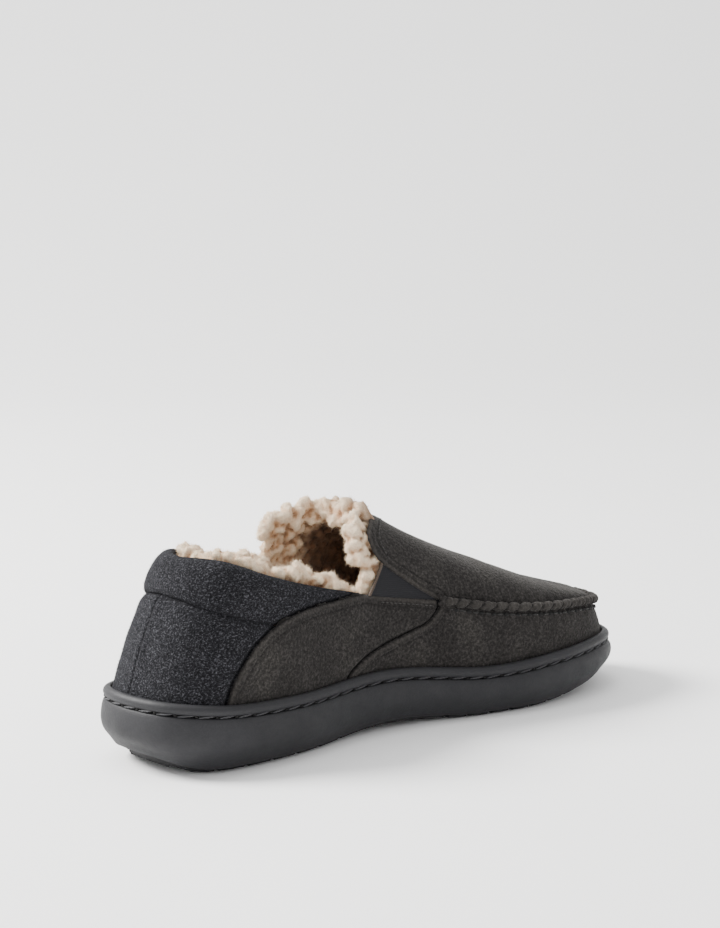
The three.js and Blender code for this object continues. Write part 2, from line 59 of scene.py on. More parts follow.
# The last has the same curves as the slipper's solids, in millimetres from the back of the heel.
# A closed curve runs once round: share 0 is the back of the heel, 0 to 0.5 the medial side, 0.5 the toe
planKnots = [
    [0, 0, 1], [.04, 7, -24], [.085, 30, -38.5], [.15, 72, -40], [.22, 118, -33], [.28, 155, -35.5],
    [.34, 192, -45.5], [.39, 226, -51.5], [.44, 264, -47.5], [.475, 291, -33], [.5, 302, -10], [.53, 297, 14],
    [.565, 275, 36.5], [.61, 236, 52], [.66, 200, 57], [.72, 158, 52.5], [.78, 115, 46], [.85, 72, 42],
    [.915, 30, 38.5], [.96, 7, 25]]
wallTopKnots = [
    [0, 35, 1, 94.5], [.04, 38, -11.5, 95], [.085, 47, -20, 93], [.15, 71, -24, 83.5], [.2, 103, -21.5, 73.5],
    [.245, 134, -22, 66], [.28, 156.5, -25.5, 62], [.31, 176, -30.5, 58.5], [.35, 201, -37, 53.5],
    [.4, 233, -41, 49.5], [.45, 268, -35, 46], [.475, 282, -26, 43.5], [.5, 289, -9, 42.5],
    [.53, 285.5, 9, 43],
    [.565, 267, 27, 45.5], [.62, 226, 43, 50], [.67, 193.5, 46.5, 55], [.71, 166.5, 43.5, 60],
    [.755, 134, 39, 66],
    [.8, 103.5, 32.5, 74], [.85, 73.5, 26, 83.5], [.915, 48, 20.5, 93], [.96, 38, 12.5, 95]]
rimKnots = [[0, 30], [40, 26], [90, 24], [140, 24.5], [190, 19.5], [240, 21.5], [275, 22.5], [302, 21]]
groundKnots = [[0, 6], [14, 2], [30, 0], [95, 0], [140, 3], [185, 0], [218, 0], [250, 2], [275, 4.5],
               [302, 9]]
floorKnots = [[0, 15], [40, 12.5], [90, 11], [140, 11.5], [190, 6.8], [240, 8.5], [275, 11], [302, 15]]
treadInsetKnots = [[0, 12], [60, 9], [140, 6], [220, 7], [302, 9]]
ridgeKnots = [[120, 9, 109.5], [140, 9, 104.5], [157, 8.5, 98.5], [180, 7, 87], [200, 5, 78], [215, 4, 72],
              [232, 2, 65], [250, 0, 57.5], [265, -4, 52], [279, -7, 48.5]]
ridgeShareKnots = [[.2, 122], [.225, 134], [.27, 152], [.31, 173], [.36, 202], [.41, 230], [.455, 254],
                   [.485, 266], [.5, 269]]
lastSize = {"upperInset": 5.5, "weltHeight": 5.6, "weltLip": .6, "marginUp": 2.4, "upperThick": 2,
            "interThick": 1.4, "fleeceThick": 6, "layerGap": .5, "treadThick": 3.5}


def hermite(u, a, b, slopeA, slopeB):
    return ((2 * u**3 - 3 * u**2 + 1) * a + (u**3 - 2 * u**2 + u) * slopeA
            + (3 * u**2 - 2 * u**3) * b + (u**3 - u**2) * slopeB)


def unit(vectors):
    return vectors / np.linalg.norm(vectors, axis=1)[:, None]


def loopCurve(knots, share):
    k = np.array(knots, float)
    n = len(k)
    s = np.mod(share, 1.0)
    i = np.searchsorted(k[:, 0], s, side="right") - 1
    at = lambda j: k[j % n, 0] + j // n
    value = lambda j: k[j % n, 1:]
    step = at(i + 1) - at(i)
    slopeA = (value(i + 1) - value(i - 1)) * (step / (at(i + 1) - at(i - 1)))[:, None]
    slopeB = (value(i + 2) - value(i)) * (step / (at(i + 2) - at(i)))[:, None]
    return hermite(((s - at(i)) / step)[:, None], value(i), value(i + 1), slopeA, slopeB)


def lineCurve(knots, where):
    k = np.array(knots, float)
    n = len(k)
    x = np.clip(where, k[0, 0], k[-1, 0])
    i = np.clip(np.searchsorted(k[:, 0], x, side="left") - 1, 0, n - 2)
    step = k[i + 1, 0] - k[i, 0]
    def slope(j):
        a, b = np.maximum(j - 1, 0), np.minimum(j + 1, n - 1)
        return (k[b, 1:] - k[a, 1:]) * (step / (k[b, 0] - k[a, 0]))[:, None]
    return hermite(((x - k[i, 0]) / step)[:, None], k[i, 1:], k[i + 1, 1:], slope(i), slope(i + 1))


def plan(share, inset=0.0):
    p = loopCurve(planKnots, share)
    t = unit(loopCurve(planKnots, share + 1e-4) - loopCurve(planKnots, share - 1e-4))
    inset = np.broadcast_to(inset, share.shape)
    return p + np.stack([-t[:, 1] * inset, t[:, 0] * inset], 1)


def heightAt(knots, share):
    return lineCurve(knots, plan(share)[:, 0])[:, 0]


def loopPoint(share, inset, z):
    return np.column_stack([plan(share, inset), np.broadcast_to(z, share.shape)])


def rimHeight(share): return heightAt(rimKnots, share)
def floorHeight(share): return heightAt(floorKnots, share)
def groundHeight(share): return np.maximum(heightAt(groundKnots, share), 0)
def weltTop(share): return rimHeight(share) + lastSize["weltHeight"] - lastSize["weltLip"]
def wallTop(share): return loopCurve(wallTopKnots, share)
def wallRise(share): return wallTop(share)[:, 2] - weltTop(share)


def bezier(a, b, c, d, t):
    t = t[:, None]
    return (1 - t)**3 * a + 3 * (1 - t)**2 * t * b + 3 * (1 - t) * t**2 * c + t**3 * d


def wallPoint(share, level):
    foot = loopPoint(share, lastSize["upperInset"], weltTop(share))
    top = wallTop(share)
    rise = top[:, 2] - foot[:, 2]
    outwards = np.column_stack([plan(share, 0) - plan(share, 1), 0 * share])
    def handle(along, bulge):
        p = foot + (top - foot) * along + outwards * (bulge * rise)[:, None]
        p[:, 2] = foot[:, 2] + rise * (along + .03)
        return p
    a, b = handle(.31, .05), handle(.68, .07)
    p = bezier(foot, a, b, top, np.clip(level, 0, 1))
    p[:, 2] += np.minimum(level, 0) * (foot[:, 2] - floorHeight(share) - lastSize["marginUp"])
    onwards = unit(top - bezier(foot, a, b, top, np.full_like(share, .96)))
    return p + onwards * (np.maximum(level - 1, 0) * rise)[:, None]


def ridgePoint(share):
    x = lineCurve(ridgeShareKnots, np.minimum(share, 1 - share))[:, 0]
    return np.column_stack([x, lineCurve(ridgeKnots, x)])


def ridgeSlope(x):
    d = (lineCurve(ridgeKnots, x + 1) - lineCurve(ridgeKnots, x - 1)) / 2
    return np.column_stack([np.ones_like(x), d])


def instepPoint(share, level):
    seam, ridge = wallTop(share), ridgePoint(share)
    rise = ridge[:, 2] - seam[:, 2]
    square = np.where(share > .5, .14 * np.minimum(rise / 40, 1), 0)  # the lateral side is fuller
    low = seam + (ridge - seam) * .06
    low[:, 2] = seam[:, 2] + rise * (.62 + square)
    slope = ridgeSlope(ridge[:, 0])
    along = (seam[:, 0] - ridge[:, 0] + (seam[:, 1] - ridge[:, 1]) * slope[:, 1]) / (1 + slope[:, 1]**2)
    reach = .58 + square
    high = ridge + (seam - ridge) * reach[:, None]
    high[:, 2] = ridge[:, 2] + reach * along * slope[:, 2]
    return bezier(seam, low, high, ridge, level - 1)


def skinPoint(share, level, wallOnly=False):
    share, level = np.asarray(share, float), np.asarray(level, float)
    if wallOnly:
        return wallPoint(share, level)
    instep, wall = instepPoint(share, np.clip(level, 1, 2)), wallPoint(share, np.minimum(level, 1))
    return np.where((level > 1)[:, None], instep, wall)


def skinNormal(share, level, wallOnly=False, band=.02):
    across = skinPoint(share + .002, level, wallOnly) - skinPoint(share - .002, level, wallOnly)
    upwards = skinPoint(share, level + band, wallOnly) - skinPoint(share, level - band, wallOnly)
    n = np.cross(across, upwards)
    if not wallOnly:
        t = unit(ridgeSlope(ridgePoint(share)[:, 0]))
        top = np.array([0, 0, 1.0]) - t * t[:, 2:]
        n = np.where((level >= 2 - 1e-6)[:, None], top, n)
    return unit(n)


def under(share, level, depth, wallOnly=False, band=.02):
    depth = np.broadcast_to(depth, np.shape(share))
    return skinPoint(share, level, wallOnly) - skinNormal(share, level, wallOnly, band) * depth[:, None]


def onSide(share, side):
    # a share measured from the heel, on the medial or the lateral side
    return 1 - share if side == "lateral" else share


def shareLine(*rows):
    return lambda level: lineCurve(rows, level)[:, 0]


archLine = shareLine([-1, .088], [0, .091], [.15, .095], [.3, .105], [.45, .12], [.6, .144], [.74, .175],
                     [.86, .205], [1, .236])
toeWallLine = shareLine([-1, .205], [0, .213], [.15, .225], [.3, .244], [.45, .267], [.62, .288], [.86, .3],
                        [1, .302])
creaseKnots = [[0, .74], [.03, .715], [.055, .68], [.085, .65], [.12, .625], [.15, .62], [.25, .62]]
apronMedial = shareLine([1, .3], [1.11, .278], [1.23, .258], [1.32, .25], [1.5, .249], [1.7, .26],
                        [1.87, .273],
                        [1.95, .276], [2, .276])
apronLateral = shareLine([1, .3], [1.11, .266], [1.23, .234], [1.32, .23], [1.5, .237], [1.7, .255],
                         [1.87, .272],
                         [1.95, .276], [2, .276])
apronSides = (("medial", apronMedial), ("lateral", apronLateral))
goreRearMedial = shareLine([1, .243], [1.23, .2565])
goreRearLateral = shareLine([1, .222], [1.23, .2325])
gorePeak, goreTip = 1.23, .3
liningMedial, liningLateral = .235, .22
overhangMedial, overhangLateral = .011, .02


def creaseLevel(share):
    return lineCurve(creaseKnots, np.abs(share - np.round(share)))[:, 0]


outlinePoints = 72
outline = plan(np.arange(outlinePoints) / outlinePoints)
middle = np.array([*(outline.min(0) + outline.max(0)) / 2, 0])


# helpers for meshes
def place(points):
    return (points - middle) * mm


latticeCells = 32  # along each side, after which the noise repeats


def smoothNoise(points, size, seed):
    # soft lattice noise from -1 to 1, one blob about every size millimetres
    lattice = np.random.default_rng(seed).uniform(-1, 1, (latticeCells,) * 3)
    p = points / size
    i = np.floor(p).astype(int)
    f = p - i
    f = f * f * (3 - 2 * f)
    total = 0
    for corner in np.ndindex(2, 2, 2):
        share = np.where(corner, f, 1 - f)
        cell = (i + corner) % latticeCells
        total = total + share[:, 0] * share[:, 1] * share[:, 2] * lattice[tuple(cell.T)]
    return total


def linePoints(edge, low, high, wallOnly=False, count=400):
    level = np.linspace(low, high, count)
    return skinPoint(edge(level), level, wallOnly)


def distanceTo(points, line):
    best = np.full(len(points), 1e9)
    for chunk in np.array_split(line, max(1, len(line) // 40)):
        d = np.linalg.norm(points[:, None, :] - chunk[None], axis=2).min(1)
        best = np.minimum(best, d)
    return best


def bump(d, at, width):
    return np.exp(-((d - at) / width)**2)


def addObject(name, data):
    thing = bpy.data.objects.new(name, data)
    bpy.context.scene.collection.objects.link(thing)
    return thing


def dress(mesh, material, smooth=True):
    mesh.materials.clear()
    if material:
        mesh.materials.append(material)
    mesh.polygons.foreach_set("use_smooth", [smooth] * len(mesh.polygons))


def writeLayer(mesh, name, values):
    layer = mesh.attributes.new(name, "FLOAT", "POINT")
    layer.data.foreach_set("value", np.asarray(values, np.float32))


def readAll(items, name, width, kind=np.float32):
    values = np.zeros(len(items) * width, kind)
    items.foreach_get(name, values)
    return values.reshape(-1, width)


def finishMesh(name, bm, material, smooth=True):
    mesh = bpy.data.meshes.new(name)
    bm.to_mesh(mesh)
    bm.free()
    dress(mesh, material, smooth)
    return addObject(name, mesh)


weldReach = 1e-5  # metres within which a surface's own edges join


def gridSurface(name, point, columns, rows, material, welded=False):
    # point(u, v) gives millimetres, and optionally a dictionary of attributes, one number for each corner
    bm = bmesh.new()
    bmesh.ops.create_grid(bm, x_segments=columns, y_segments=rows, size=.5)
    bm.verts.ensure_lookup_table()
    co = np.array([v.co for v in bm.verts])
    u, v = co[:, 0] + .5, co[:, 1] + .5
    made = point(u, v)
    points, attributes = made if isinstance(made, tuple) else (made, {})
    layers = {key: bm.verts.layers.float.new(key) for key in attributes}
    for vert, p in zip(bm.verts, place(points)):
        vert.co = p
    for key, layer in layers.items():
        for vert, value in zip(bm.verts, attributes[key]):
            vert[layer] = float(value)
    if welded:
        bmesh.ops.remove_doubles(bm, verts=bm.verts, dist=weldReach)
    return finishMesh(name, bm, material)


def addThickness(piece, thick, offset=-1.0):
    solid = piece.modifiers.new("thickness", "SOLIDIFY")
    solid.thickness = thick * mm
    solid.offset = offset
    solid.use_even_offset = False
    return piece


def evaluated(piece):
    graph = bpy.context.evaluated_depsgraph_get()
    return bpy.data.meshes.new_from_object(piece.evaluated_get(graph), depsgraph=graph)


def meshArrays(mesh):
    return readAll(mesh.vertices, "co", 3).astype(float), readAll(mesh.edges, "vertices", 2, np.int32)


def neighbourMean(co, edges):
    total = np.zeros_like(co)
    count = np.bincount(edges.ravel(), minlength=len(co)).astype(float)
    for c in range(co.shape[1]):
        total[:, c] = (np.bincount(edges[:, 0], co[edges[:, 1], c], len(co))
                       + np.bincount(edges[:, 1], co[edges[:, 0], c], len(co)))
    return total / np.maximum(count, 1)[:, None]


def meshNormals(mesh):
    return readAll(mesh.vertices, "normal", 3).astype(float)


def copiesOf(name, pattern, places, material, attributes=None):
    # one small shape from bmesh, repeated at each 4 by 4 place, as one mesh
    co = np.array([v.co for v in pattern.verts])
    faces = [[v.index for v in f.verts] for f in pattern.faces]
    pattern.free()
    places = np.asarray(places)
    n, m = len(places), len(co)
    corners = np.einsum("nij,mj->nmi", places[:, :3, :3], co) + places[:, None, :3, 3]
    mesh = bpy.data.meshes.new(name)
    sizes = np.array([len(f) for f in faces])
    flat = np.concatenate(faces)
    mesh.vertices.add(n * m)
    mesh.vertices.foreach_set("co", corners.astype(np.float32).ravel())
    mesh.loops.add(n * len(flat))
    indices = flat[None] + (np.arange(n) * m)[:, None]
    mesh.loops.foreach_set("vertex_index", indices.astype(np.int32).ravel())
    mesh.polygons.add(n * len(sizes))
    starts = np.concatenate([[0], np.cumsum(np.tile(sizes, n))[:-1]])
    mesh.polygons.foreach_set("loop_start", starts.astype(np.int32))
    mesh.update(calc_edges=True)
    dress(mesh, material)
    for key, values in (attributes or {}).items():
        writeLayer(mesh, key, np.repeat(values, m))
    return addObject(name, mesh)


def placesAt(origins, axes, sizes):
    # a 4 by 4 place at each origin in metres, with its axes scaled by sizes in millimetres
    m = np.zeros((len(origins), 4, 4))
    for c, axis in enumerate(axes):
        m[:, :3, c] = axis * sizes[:, c:c + 1] * mm
    m[:, :3, 3] = origins
    m[:, 3, 3] = 1
    return m


def placesFrom(points, along, up, sizes):
    # at each point in millimetres, local x lies along and local z up
    x = unit(along)
    z = unit(up - x * (up * x).sum(1)[:, None])
    return placesAt(place(points), (x, np.cross(z, x), z), np.broadcast_to(sizes, (len(points), 3)))


def distanceAlong(path):
    return np.concatenate([[0], np.cumsum(np.linalg.norm(np.diff(path, axis=0), axis=1))])


def evenly(path, normals, pitch, start=0.5):
    # points, directions and normals every pitch millimetres along a dense path
    gone = distanceAlong(path)
    count = max(1, round(gone[-1] / pitch))
    at = (np.arange(count) + start) * gone[-1] / count
    pick = lambda values, where: np.column_stack([np.interp(where, gone, values[:, c]) for c in range(3)])
    return pick(path, at), pick(path, at + .4) - pick(path, at - .4), pick(normals, at)


def ballPattern(segments=8, rings=6):
    bm = bmesh.new()
    bmesh.ops.create_uvsphere(bm, u_segments=segments, v_segments=rings, radius=1,
                              matrix=Matrix.Rotation(math.pi / 2, 4, "Y"))
    return bm


def rowOfBalls(name, path, normals, pitch, size, material, start=.5, lift=0):
    # stretched balls along a path: the stitches of a seam, or near-black balls that paint the shade in the
    # holes between them
    points, along, up = evenly(path, normals, pitch, start)
    return copiesOf(name, ballPattern(), placesFrom(points, unit(along) + [0, 0, lift], up, size), material)


def hairPattern():
    # a three-sided tapering fibre, 1 long
    bm = bmesh.new()
    bmesh.ops.create_cone(bm, cap_ends=True, cap_tris=False, segments=3, radius1=1, radius2=0, depth=1)
    bmesh.ops.translate(bm, verts=bm.verts, vec=(0, 0, .5))
    return bm


def ride(piece, slot=None, *nodes):
    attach(piece, "root")
    if nodes:
        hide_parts(*nodes)
    return piece


# materials
def newMaterial(name, finish):
    # finish holds the numbers set on the shader's own sockets
    material = bpy.data.materials.new(name)
    material.use_nodes = True
    tree = material.node_tree
    tree.nodes.clear()
    shader = node(tree, "BsdfPrincipled", finish)
    node(tree, "OutputMaterial", {0: shader.outputs[0]})
    return material, tree, shader


def node(tree, kind, inputs=None, **settings):
    n = tree.nodes.new("ShaderNode" + kind)
    for key, value in settings.items():
        setattr(n, key, value)
    for key, value in (inputs or {}).items():
        if isinstance(value, bpy.types.NodeSocket):
            tree.links.new(value, n.inputs[key])
        else:
            n.inputs[key].default_value = value
    return n


def srgb(r, g, b):
    linear = lambda c: (c / 255 / 12.92) if c / 255 <= .04045 else ((c / 255 + .055) / 1.055)**2.4
    return (linear(r), linear(g), linear(b), 1)


def shadeOf(color, share):
    return srgb(*[c * share for c in color])


def noiseOf(tree, size, detail=3, rough=.6, distortion=0.0, stretch=(1, 1, 1), vector=None):
    # size is the width of a blob in millimetres
    if vector is None:
        vector = node(tree, "TexCoord").outputs["Object"]
    moved = node(tree, "Mapping", {"Vector": vector, "Scale": stretch})
    return node(tree, "TexNoise", {"Vector": moved.outputs[0], "Scale": 1000 / size, "Detail": detail,
                                   "Roughness": rough, "Distortion": distortion}).outputs["Fac"]


def ramp(tree, factor, *stops):
    n = node(tree, "ValToRGB", {"Fac": factor})
    elements = n.color_ramp.elements
    while len(elements) > 1:
        elements.remove(elements[0])
    for i, (at, color) in enumerate(stops):
        e = elements[0] if i == 0 else elements.new(at)
        e.position = at
        e.color = color
    return n.outputs["Color"]


def mix(tree, factor, a, b, blend="MIX"):
    n = node(tree, "Mix", data_type="RGBA", blend_type=blend)
    for socket, value in ((0, factor), (6, a), (7, b)):
        if isinstance(value, bpy.types.NodeSocket):
            tree.links.new(value, n.inputs[socket])
        else:
            n.inputs[socket].default_value = value
    return n.outputs[2]


def calculate(tree, operation, a, b=0.0, clamp=False):
    return node(tree, "Math", {0: a, 1: b}, operation=operation, use_clamp=clamp).outputs[0]


def attribute(tree, name):
    return node(tree, "Attribute", attribute_name=name).outputs["Fac"]


def bumps(tree, shader, *layers):
    # each layer is a height and a depth in millimetres
    normal = None
    for height, depth in layers:
        n = node(tree, "Bump", {"Height": height, "Distance": depth * mm, "Strength": 1.0})
        if normal:
            tree.links.new(normal, n.inputs["Normal"])
        normal = n.outputs["Normal"]
    tree.links.new(normal, shader.inputs["Normal"])


def gray(v):
    return (v, v, v, 1)


suedeLook = {"dark": (36, 34, 33), "mid": (40, 38, 37), "light": (47, 45, 43), "napBlob": 1.3,
             "mottleBlob": 21}


def suedeMaterial(name):
    material, tree, shader = newMaterial(name, {
        "Roughness": .92, "Specular IOR Level": .15, "Sheen Weight": .16, "Sheen Roughness": .4,
        "Sheen Tint": srgb(165, 162, 158)})
    dark, mid, light = (srgb(*suedeLook[tone]) for tone in ("dark", "mid", "light"))
    mottle = noiseOf(tree, suedeLook["mottleBlob"], 1, .5)
    patches = ramp(tree, mottle, (.3, dark), (.52, mid), (.75, light))
    nap = noiseOf(tree, suedeLook["napBlob"], 2, .7)
    stipple = ramp(tree, nap, (.28, gray(.3)), (.5, gray(.9)), (.72, gray(2.1)))
    colour = mix(tree, .85, patches, stipple, "MULTIPLY")
    worn = attribute(tree, "worn")  # 1 on the crests of folded edges and gathers: the nap is lighter there, partly rubbed and partly a painted highlight
    colour = mix(tree, worn, colour, srgb(64, 61, 58))
    paintedShade = attribute(tree, "shade")  # painted shade: 1 in creases and along the seams, where shade falls
    colour = mix(tree, paintedShade, colour, srgb(10, 9, 9))
    tree.links.new(colour, shader.inputs["Base Color"])
    bumps(tree, shader, (nap, .8), (noiseOf(tree, 2.4, 1), .25))
    return material


woolLook = {"dark": (11, 11, 13), "mid": (30, 30, 33), "light": (90, 90, 95), "fleck": .9}


def woolMaterial(name):
    material, tree, shader = newMaterial(name, {
        "Roughness": 1, "Specular IOR Level": .1, "Sheen Weight": .06, "Sheen Roughness": .5,
        "Sheen Tint": srgb(150, 152, 160)})
    flecks = []
    for stretch in ((1.2, 1.2, .8), (.8, 1.3, 1.3), (1.3, .8, 1.2)):
        flecks.append(noiseOf(tree, woolLook["fleck"], 3, .75, .2, stretch))
    body = ramp(tree, flecks[0], (.38, srgb(*woolLook["dark"])), (.6, srgb(*woolLook["mid"])))
    lightFleck = ramp(tree, flecks[1], (.5, gray(0)), (.68, gray(.8)))
    colour = mix(tree, lightFleck, body, srgb(*woolLook["light"]))
    darkFleck = ramp(tree, flecks[2], (.5, gray(0)), (.68, gray(.85)))
    colour = mix(tree, darkFleck, colour, srgb(12, 12, 14))
    cloud = ramp(tree, noiseOf(tree, 14, 2), (.3, gray(.88)), (.7, gray(1.1)))
    colour = mix(tree, 1.0, colour, cloud, "MULTIPLY")
    # painted shade in the crease, along the seams and at the collar's tucked edges
    colour = mix(tree, attribute(tree, "shade"), colour, srgb(10, 10, 12))
    tree.links.new(colour, shader.inputs["Base Color"])
    bumps(tree, shader, (flecks[1], .45), (flecks[0], .4), (noiseOf(tree, 4, 2), .4))
    return material


def woolHairMaterial():
    material, tree, shader = newMaterial("woolFibres", {"Roughness": .9, "Specular IOR Level": .15})
    tone = ramp(tree, attribute(tree, "tone"), (.0, srgb(12, 12, 14)), (.6, srgb(34, 34, 38)),
                (1, srgb(80, 81, 86)))
    tree.links.new(tone, shader.inputs["Base Color"])
    return material


def fleeceMaterial(name, hair=False):
    material, tree, shader = newMaterial(name, {
        "Roughness": .95, "Specular IOR Level": .1, "Sheen Weight": .3, "Sheen Roughness": .5,
        "Sheen Tint": srgb(255, 240, 222)})
    crest = attribute(tree, "crest")  # 0 in the hollows between lobes, 1 on their tops; the colour below paints the hollows brown as shade
    tuft = noiseOf(tree, 7, 3, .6)
    level = calculate(tree, "ADD", crest,
                      calculate(tree, "MULTIPLY", calculate(tree, "SUBTRACT", tuft, .5), .5), True)
    colour = ramp(tree, level, (0, srgb(150, 108, 76)), (.28, srgb(203, 163, 128)),
                  (.55, srgb(227, 198, 166)),
                  (1, srgb(238, 216, 188)))
    fine = ramp(tree, noiseOf(tree, .9, 3, .7), (.3, gray(.8)), (.7, gray(1.12)))
    colour = mix(tree, 1.0, colour, fine, "MULTIPLY")
    deep = attribute(tree, "deep")  # 1 far inside the toe, where the pile is flattened and painted dark brown as shade
    colour = mix(tree, calculate(tree, "MULTIPLY", deep, .92), colour,
                 mix(tree, level, srgb(48, 26, 13), srgb(118, 76, 46)))
    tree.links.new(colour, shader.inputs["Base Color"])
    if not hair:
        shader.inputs["Subsurface Weight"].default_value = .15
        shader.inputs["Subsurface Radius"].default_value = (1, .6, .38)
        shader.inputs["Subsurface Scale"].default_value = 1.6 * mm
        bumps(tree, shader, (noiseOf(tree, .9, 3, .75, 1.5), .8), (noiseOf(tree, 2.6, 3, .6, 1.0), .8))
    return material


def rubberMaterial(name, color, roughness, grain):
    material, tree, shader = newMaterial(name, {"Specular IOR Level": .34})
    patches = ramp(tree, noiseOf(tree, 30, 3), (.3, shadeOf(color, .93)), (.7, shadeOf(color, 1.06)))
    speck = ramp(tree, noiseOf(tree, .7, 2), (.35, gray(.86)), (.65, gray(1.12)))
    colour = mix(tree, 1.0, patches, speck, "MULTIPLY")
    # painted shade in the groove under the welt and where the welt sits on the cup
    colour = mix(tree, attribute(tree, "shade"), colour, srgb(9, 9, 10))
    tree.links.new(colour, shader.inputs["Base Color"])
    scuff = ramp(tree, noiseOf(tree, 11, 4, .7), (.35, gray(roughness - .05)), (.7, gray(roughness + .07)))
    tree.links.new(scuff, shader.inputs["Roughness"])
    bumps(tree, shader, (noiseOf(tree, .55, 2, .6), grain), (noiseOf(tree, 1.6, 2), grain * .6))
    return material


def threadMaterial(name, color):
    material, tree, shader = newMaterial(name, {"Roughness": .7})
    place3d = node(tree, "TexCoord").outputs["Object"]
    twist = node(tree, "TexWave", {"Vector": place3d, "Scale": 420.0, "Distortion": 1.5},
                 bands_direction="DIAGONAL")
    # painted shade: the grooves of the twist darker, the plies' tops lighter
    colour = ramp(tree, twist.outputs["Fac"], (0, shadeOf(color, .6)), (1, shadeOf(color, 1.15)))
    tree.links.new(colour, shader.inputs["Base Color"])
    bumps(tree, shader, (twist.outputs["Fac"], .15))
    return material


def goreMaterial():
    material, tree, shader = newMaterial("goreElastic", {
        "Roughness": .75, "Sheen Weight": .03, "Specular IOR Level": .25})
    wave = calculate(tree, "SINE", calculate(tree, "MULTIPLY", attribute(tree, "rib"), 2 * math.pi))
    height = calculate(tree, "ADD", calculate(tree, "MULTIPLY", wave, .5), .5)
    # painted shade: the rib valleys a little darker than their tops
    colour = ramp(tree, height, (0, srgb(18, 18, 21)), (1, srgb(22, 22, 26)))
    weave = ramp(tree, noiseOf(tree, .5, 2), (.3, gray(.8)), (.7, gray(1.15)))
    colour = mix(tree, 1.0, colour, weave, "MULTIPLY")
    # painted shade along the bottom edge and under the apron's edge
    colour = mix(tree, attribute(tree, "shade"), colour, srgb(8, 8, 10))
    tree.links.new(colour, shader.inputs["Base Color"])
    bumps(tree, shader, (height, .07), (noiseOf(tree, .5, 2), .08))
    return material


def plainGrain(name, dark, light, blob, depth, rough=.9):
    material, tree, shader = newMaterial(name, {"Roughness": rough})
    grain = noiseOf(tree, blob, 4, .65)
    tree.links.new(ramp(tree, grain, (.3, srgb(*dark)), (.7, srgb(*light))), shader.inputs["Base Color"])
    bumps(tree, shader, (grain, depth))
    return material


suede = suedeMaterial("suede")
wool = woolMaterial("woolFelt")
woolHair = woolHairMaterial()
fleece = fleeceMaterial("sherpaFleece")
fleeceHair = fleeceMaterial("fleeceFibres", hair=True)
cupRubber = rubberMaterial("cupRubber", (28, 28, 31), .62, .18)
weltRubber = rubberMaterial("weltRubber", (28, 28, 31), .6, .1)
treadRubber = rubberMaterial("treadRubber", (28, 28, 30), .72, .2)
soleThread = threadMaterial("soleThread", (44, 44, 47))
suedeThread = threadMaterial("suedeThread", (50, 48, 46))
seamThread = threadMaterial("seamThread", (22, 21, 20))
pipingThread = threadMaterial("goreBinding", (72, 58, 46))
goreElastic = goreMaterial()
foamLook = plainGrain("insoleFoam", (150, 146, 138), (196, 190, 180), 1.2, .3)
boardLook = plainGrain("fibreBoard", (120, 98, 70), (168, 142, 108), .9, .15, .85)
print("materials made")


# camera, floor and light
cameraLook = {"azimuth": -42.0, "elevation": 13.3, "target": (149, 0, 40), "away": 1200, "lens": 94.66,
              "tiltUp": 4.02, "turnLeft": .14}


def addCamera():
    a, e = math.radians(cameraLook["azimuth"]), math.radians(cameraLook["elevation"])
    back = Vector((math.sin(a) * math.cos(e), -math.cos(a) * math.cos(e), math.sin(e)))
    data = bpy.data.cameras.new("camera")
    data.lens = cameraLook["lens"]
    data.clip_end = 50
    camera = addObject("camera", data)
    right = (-back).cross(Vector((0, 0, 1))).normalized()
    look = Matrix.Rotation(math.radians(cameraLook["tiltUp"]), 3, right) @ -back
    look = Matrix.Rotation(math.radians(cameraLook["turnLeft"]), 3, "Z") @ look
    camera.location = Vector(place(np.array([cameraLook["target"]]))[0]) + back * cameraLook["away"] * mm
    camera.rotation_mode = "QUATERNION"
    camera.rotation_quaternion = look.to_track_quat("-Z", "Y")
    bpy.context.scene.camera = camera


studio = {"floorGray": .93, "worldStrength": 1.14, "key": 128, "top": 16, "fill": 2, "sweepStart": 1.2,
          "sweepRadius": 1.5, "floorDrop": .0003}


def addArea(name, at, aim, size, power, color=(1, 1, 1)):
    data = bpy.data.lights.new(name, "AREA")
    data.shape = "DISK"
    data.size = size
    data.energy = power
    data.color = color
    light = addObject(name, data)
    light.location = at
    light.rotation_mode = "QUATERNION"
    light.rotation_quaternion = (Vector(aim) - Vector(at)).to_track_quat("-Z", "Y")


